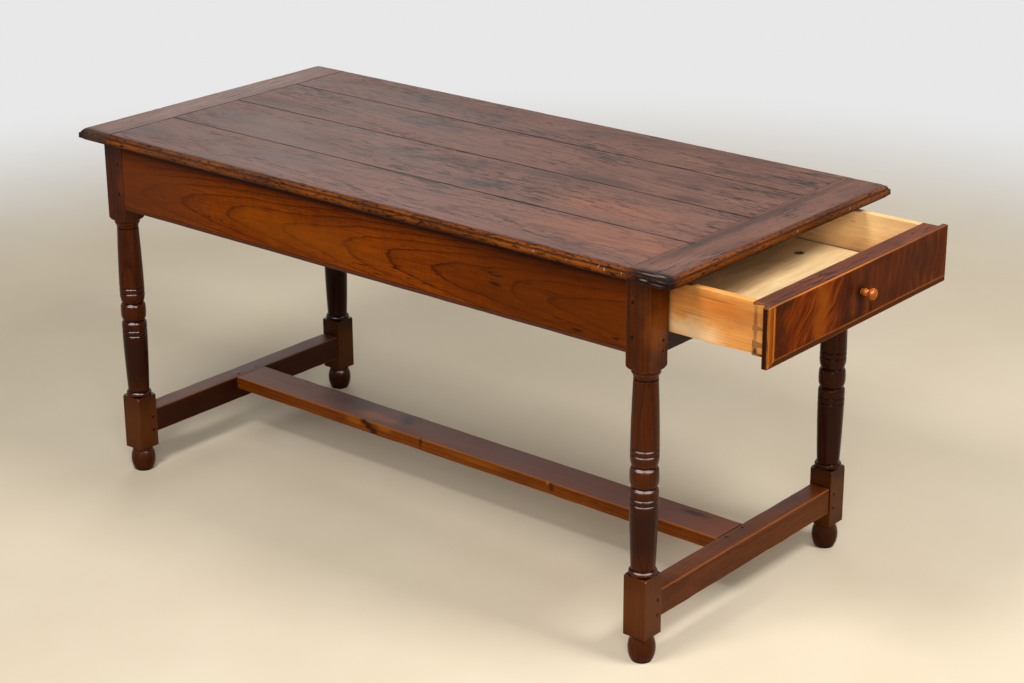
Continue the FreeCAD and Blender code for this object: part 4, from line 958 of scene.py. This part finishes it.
# %% Finish the veneer
edge_dirt = "#241006"
front_face = 0.92
worn_arris = ((-0.12, 0.731), (0.004, 0.4, 0.0028), "#c06c24", 1.0)
face_marks = marks_at(0, front_face, [
    ((-0.055, 0.68), (0.1, 0.035, 0.16), "#2a1008", 0.6),
    ((-0.13, 0.68), (0.1, 0.035, 0.12), "#9a500c", 0.4),
    ((-0.262, 0.66), (0.1, 0.032, 0.10), "#2c1006", 0.7),
    ((-0.19, 0.616), (0.1, 0.10, 0.032), edge_dirt, 0.7),
    ((-0.03, 0.625), (0.1, 0.08, 0.032), edge_dirt, 0.6),
    ((0.21, 0.69), (0.1, 0.09, 0.05), "#3a1c10", 0.5),
    ((0.10, 0.65), (0.1, 0.08, 0.03), "#341508", 0.4),
    # Painted shadow of the knob: dark round its foot and below it.
    ((-0.004, 0.682), (0.05, 0.024, 0.024), "#1c0a05", 0.85),
    ((0.033, 0.640), (0.05, 0.009, 0.026), "#1c0a05", 0.75),
    worn_arris,
    ((-0.245, 0.732), (0.1, 0.05, 0.032), edge_dirt, 0.7),
    ((0.06, 0.735), (0.1, 0.06, 0.031), edge_dirt, 0.5),
])


def crotch_veneer(name):
    """Sliced crotch walnut: leaning flames on the left, plain upright streaks on the right."""
    material, tree, output, place = fresh_material(name)
    sway = add(tree, "TexNoise", {"Scale": 18.0, "Detail": 2.0}, {"Vector": place})
    bent = add(tree, "VectorMath", {"operation": "MULTIPLY_ADD", 1: (0.0, 0.03, 0.03)},
               {0: sway.outputs["Color"], 2: place})
    leaning = add(tree, "Mapping", {"Rotation": (math.radians(-50), 0, -math.pi / 2)}, {"Vector": bent})
    upright = add(tree, "Mapping", {"Rotation": (math.radians(-80), 0, -math.pi / 2)}, {"Vector": bent})
    flame = streaks(tree, leaning, 60, 4.5, detail=4)
    flame = add(tree, "ValToRGB", {"stops": [(0.32, "#441802"), (0.45, "#5c2202"), (0.58, "#702c02"),
                                             (0.7, "#864004")]}, {"Fac": flame})
    plain = streaks(tree, upright, 90, 14, detail=4, shift=4)
    plain = add(tree, "ValToRGB", {"stops": [(0.3, "#421c0a"), (0.5, "#50230c"), (0.7, "#602d0e")]},
                {"Fac": plain})
    spot = add(tree, "SeparateXYZ", {}, {"Vector": bent}).outputs["Y"]
    side = add(tree, "MapRange", {"interpolation_type": "SMOOTHSTEP", "From Min": -0.10, "From Max": 0.0},
               {"Value": spot})
    wood = add(tree, "Mix", {"data_type": "RGBA"}, {0: side, 6: flame, 7: plain})
    fibre = streaks(tree, upright, 40, 1.6, detail=3)
    fine = add(tree, "MapRange", {"From Min": 0.3, "From Max": 0.7, "To Min": 0.75, "To Max": 1.2},
               {"Value": fibre})
    wood = add(tree, "Mix", multiplied, {6: wood, 7: fine})
    wood = bloomed(tree, place, wood, face_marks)
    wood = handled_and_shaded(tree, wood, fibre, "#b06420", 0.006)
    waxed(tree, output, wood, fibre, sway, 0.3, 0.015)
    return material


dress(crotch_veneer("sliced_crotch_walnut_veneer"), "front_veneer")

# %% [markdown]
# Round the veneer lie a band of orange walnut at the near end, a darker band below, and a line of
# boxwood stringing. The core of the front shows on top, mauve brown, and the knob is turned fruitwood.

# %% Finish the bands, the core and the knob


def end_banding(name):
    """A sawn strip set on end: upright grain, bright rubbed margins, a darker middle."""
    material, tree, output, place = fresh_material(name)
    local = add(tree, "Mapping", {"Rotation": grain_turn["Z"]}, {"Vector": place})
    low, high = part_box("end_band")
    spot = add(tree, "SeparateXYZ", {}, {"Vector": place}).outputs["Y"]
    across = add(tree, "MapRange", {"From Min": low.y, "From Max": high.y}, {"Value": spot})
    wood = add(tree, "ValToRGB", {"stops": [(0.0, "#2a1208"), (0.16, "#b66414"), (0.4, "#8a4408"),
                                            (0.75, "#7c3a06"), (0.92, "#b66414")]}, {"Fac": across})
    fibre = streaks(tree, local, 30, 1.6, detail=3)
    fine = add(tree, "MapRange", {"From Min": 0.3, "From Max": 0.7, "To Min": 0.6, "To Max": 1.25},
               {"Value": fibre})
    wood = add(tree, "Mix", multiplied, {6: wood, 7: fine})
    wood, check = stained(tree, local, wood, 0.4, 0.5)
    wood = handled_and_shaded(tree, wood, fibre, "#d8842a", 0.004)
    waxed(tree, output, wood, fibre, check, 0.35, 0.03)
    return material


dress(end_banding("sawn_walnut_end_band"), "end_band")
dress(old_wood("sawn_walnut_bottom_band", "Y", (0.8, 0.6), seed=0.4, pale="#4c2208", deep="#2a1006",
               rub="#8a4c14", shine=0.03), "bottom_band")
dress(old_wood("sawn_boxwood_stringing", "Y", (0.8, 0.8), seed=0.2, pale="#864810", deep="#5e300a",
               rub="#985614", stain=0.4, dent=0.6, shine=0.03), "stringing")
core_marks = marks_at(0, front_face, [worn_arris])
core_marks += [((0.9, -0.2956, 0.68), (0.1, 0.004, 0.2), "#2a1208", 1.2)]
core_marks += [((0.892, y, 0.68), (0.03, 0.006, 0.08), "#8e6238", 1.2) for y in (-0.279, 0.279)]
dress(old_wood("planed_walnut_front_core", "Y", (0.8, 0.6), seed=0.2, pale="#6c3c26", deep="#331a10",
               rub="#a05a22", shine=0.03, stain=0.6, dent=1.0, mark=(40, 3.5), blooms=core_marks),
      "drawer_front")
dress(old_wood("turned_fruitwood_knob", "X", (0.03, 0.66), seed=0.2, pale="#ac5a14", deep="#74340a",
               rub="#bc7028", stain=0.1, dent=0.2, rough=0.15, shine=0.07, relief=0.05, dirt_and_shade_reach=0.004),
      "drawer_knob")

# %% [markdown]
# The nails are forged iron gone brown: a dark metal whose rust breaks its shine.

# %% Finish the nails
forged_iron, tree, output, place = fresh_material("forged_iron_nails")
rust = add(tree, "TexNoise", {"Scale": 900.0, "Detail": 3.0}, {"Vector": place})
colour = add(tree, "ValToRGB", {"stops": [(0.4, "#4a4440"), (0.65, "#5a341c")]}, {"Fac": rust})
dull = add(tree, "MapRange", {"To Min": 0.4, "To Max": 0.85}, {"Value": rust})
bump = add(tree, "Bump", {"Strength": 0.4, "Distance": 0.0003}, {"Height": rust})
skin = add(tree, "BsdfPrincipled", {"Metallic": 0.85},
           {"Base Color": colour, "Roughness": dull, "Normal": bump})
tree.links.new(skin.outputs[0], output.inputs["Surface"])
dress(forged_iron, "runner_nails", "guide_nails", "kicker_nails", "drawer_bottom_nails")

# %% [markdown]
# The dressed table must stay within the plain model's box.
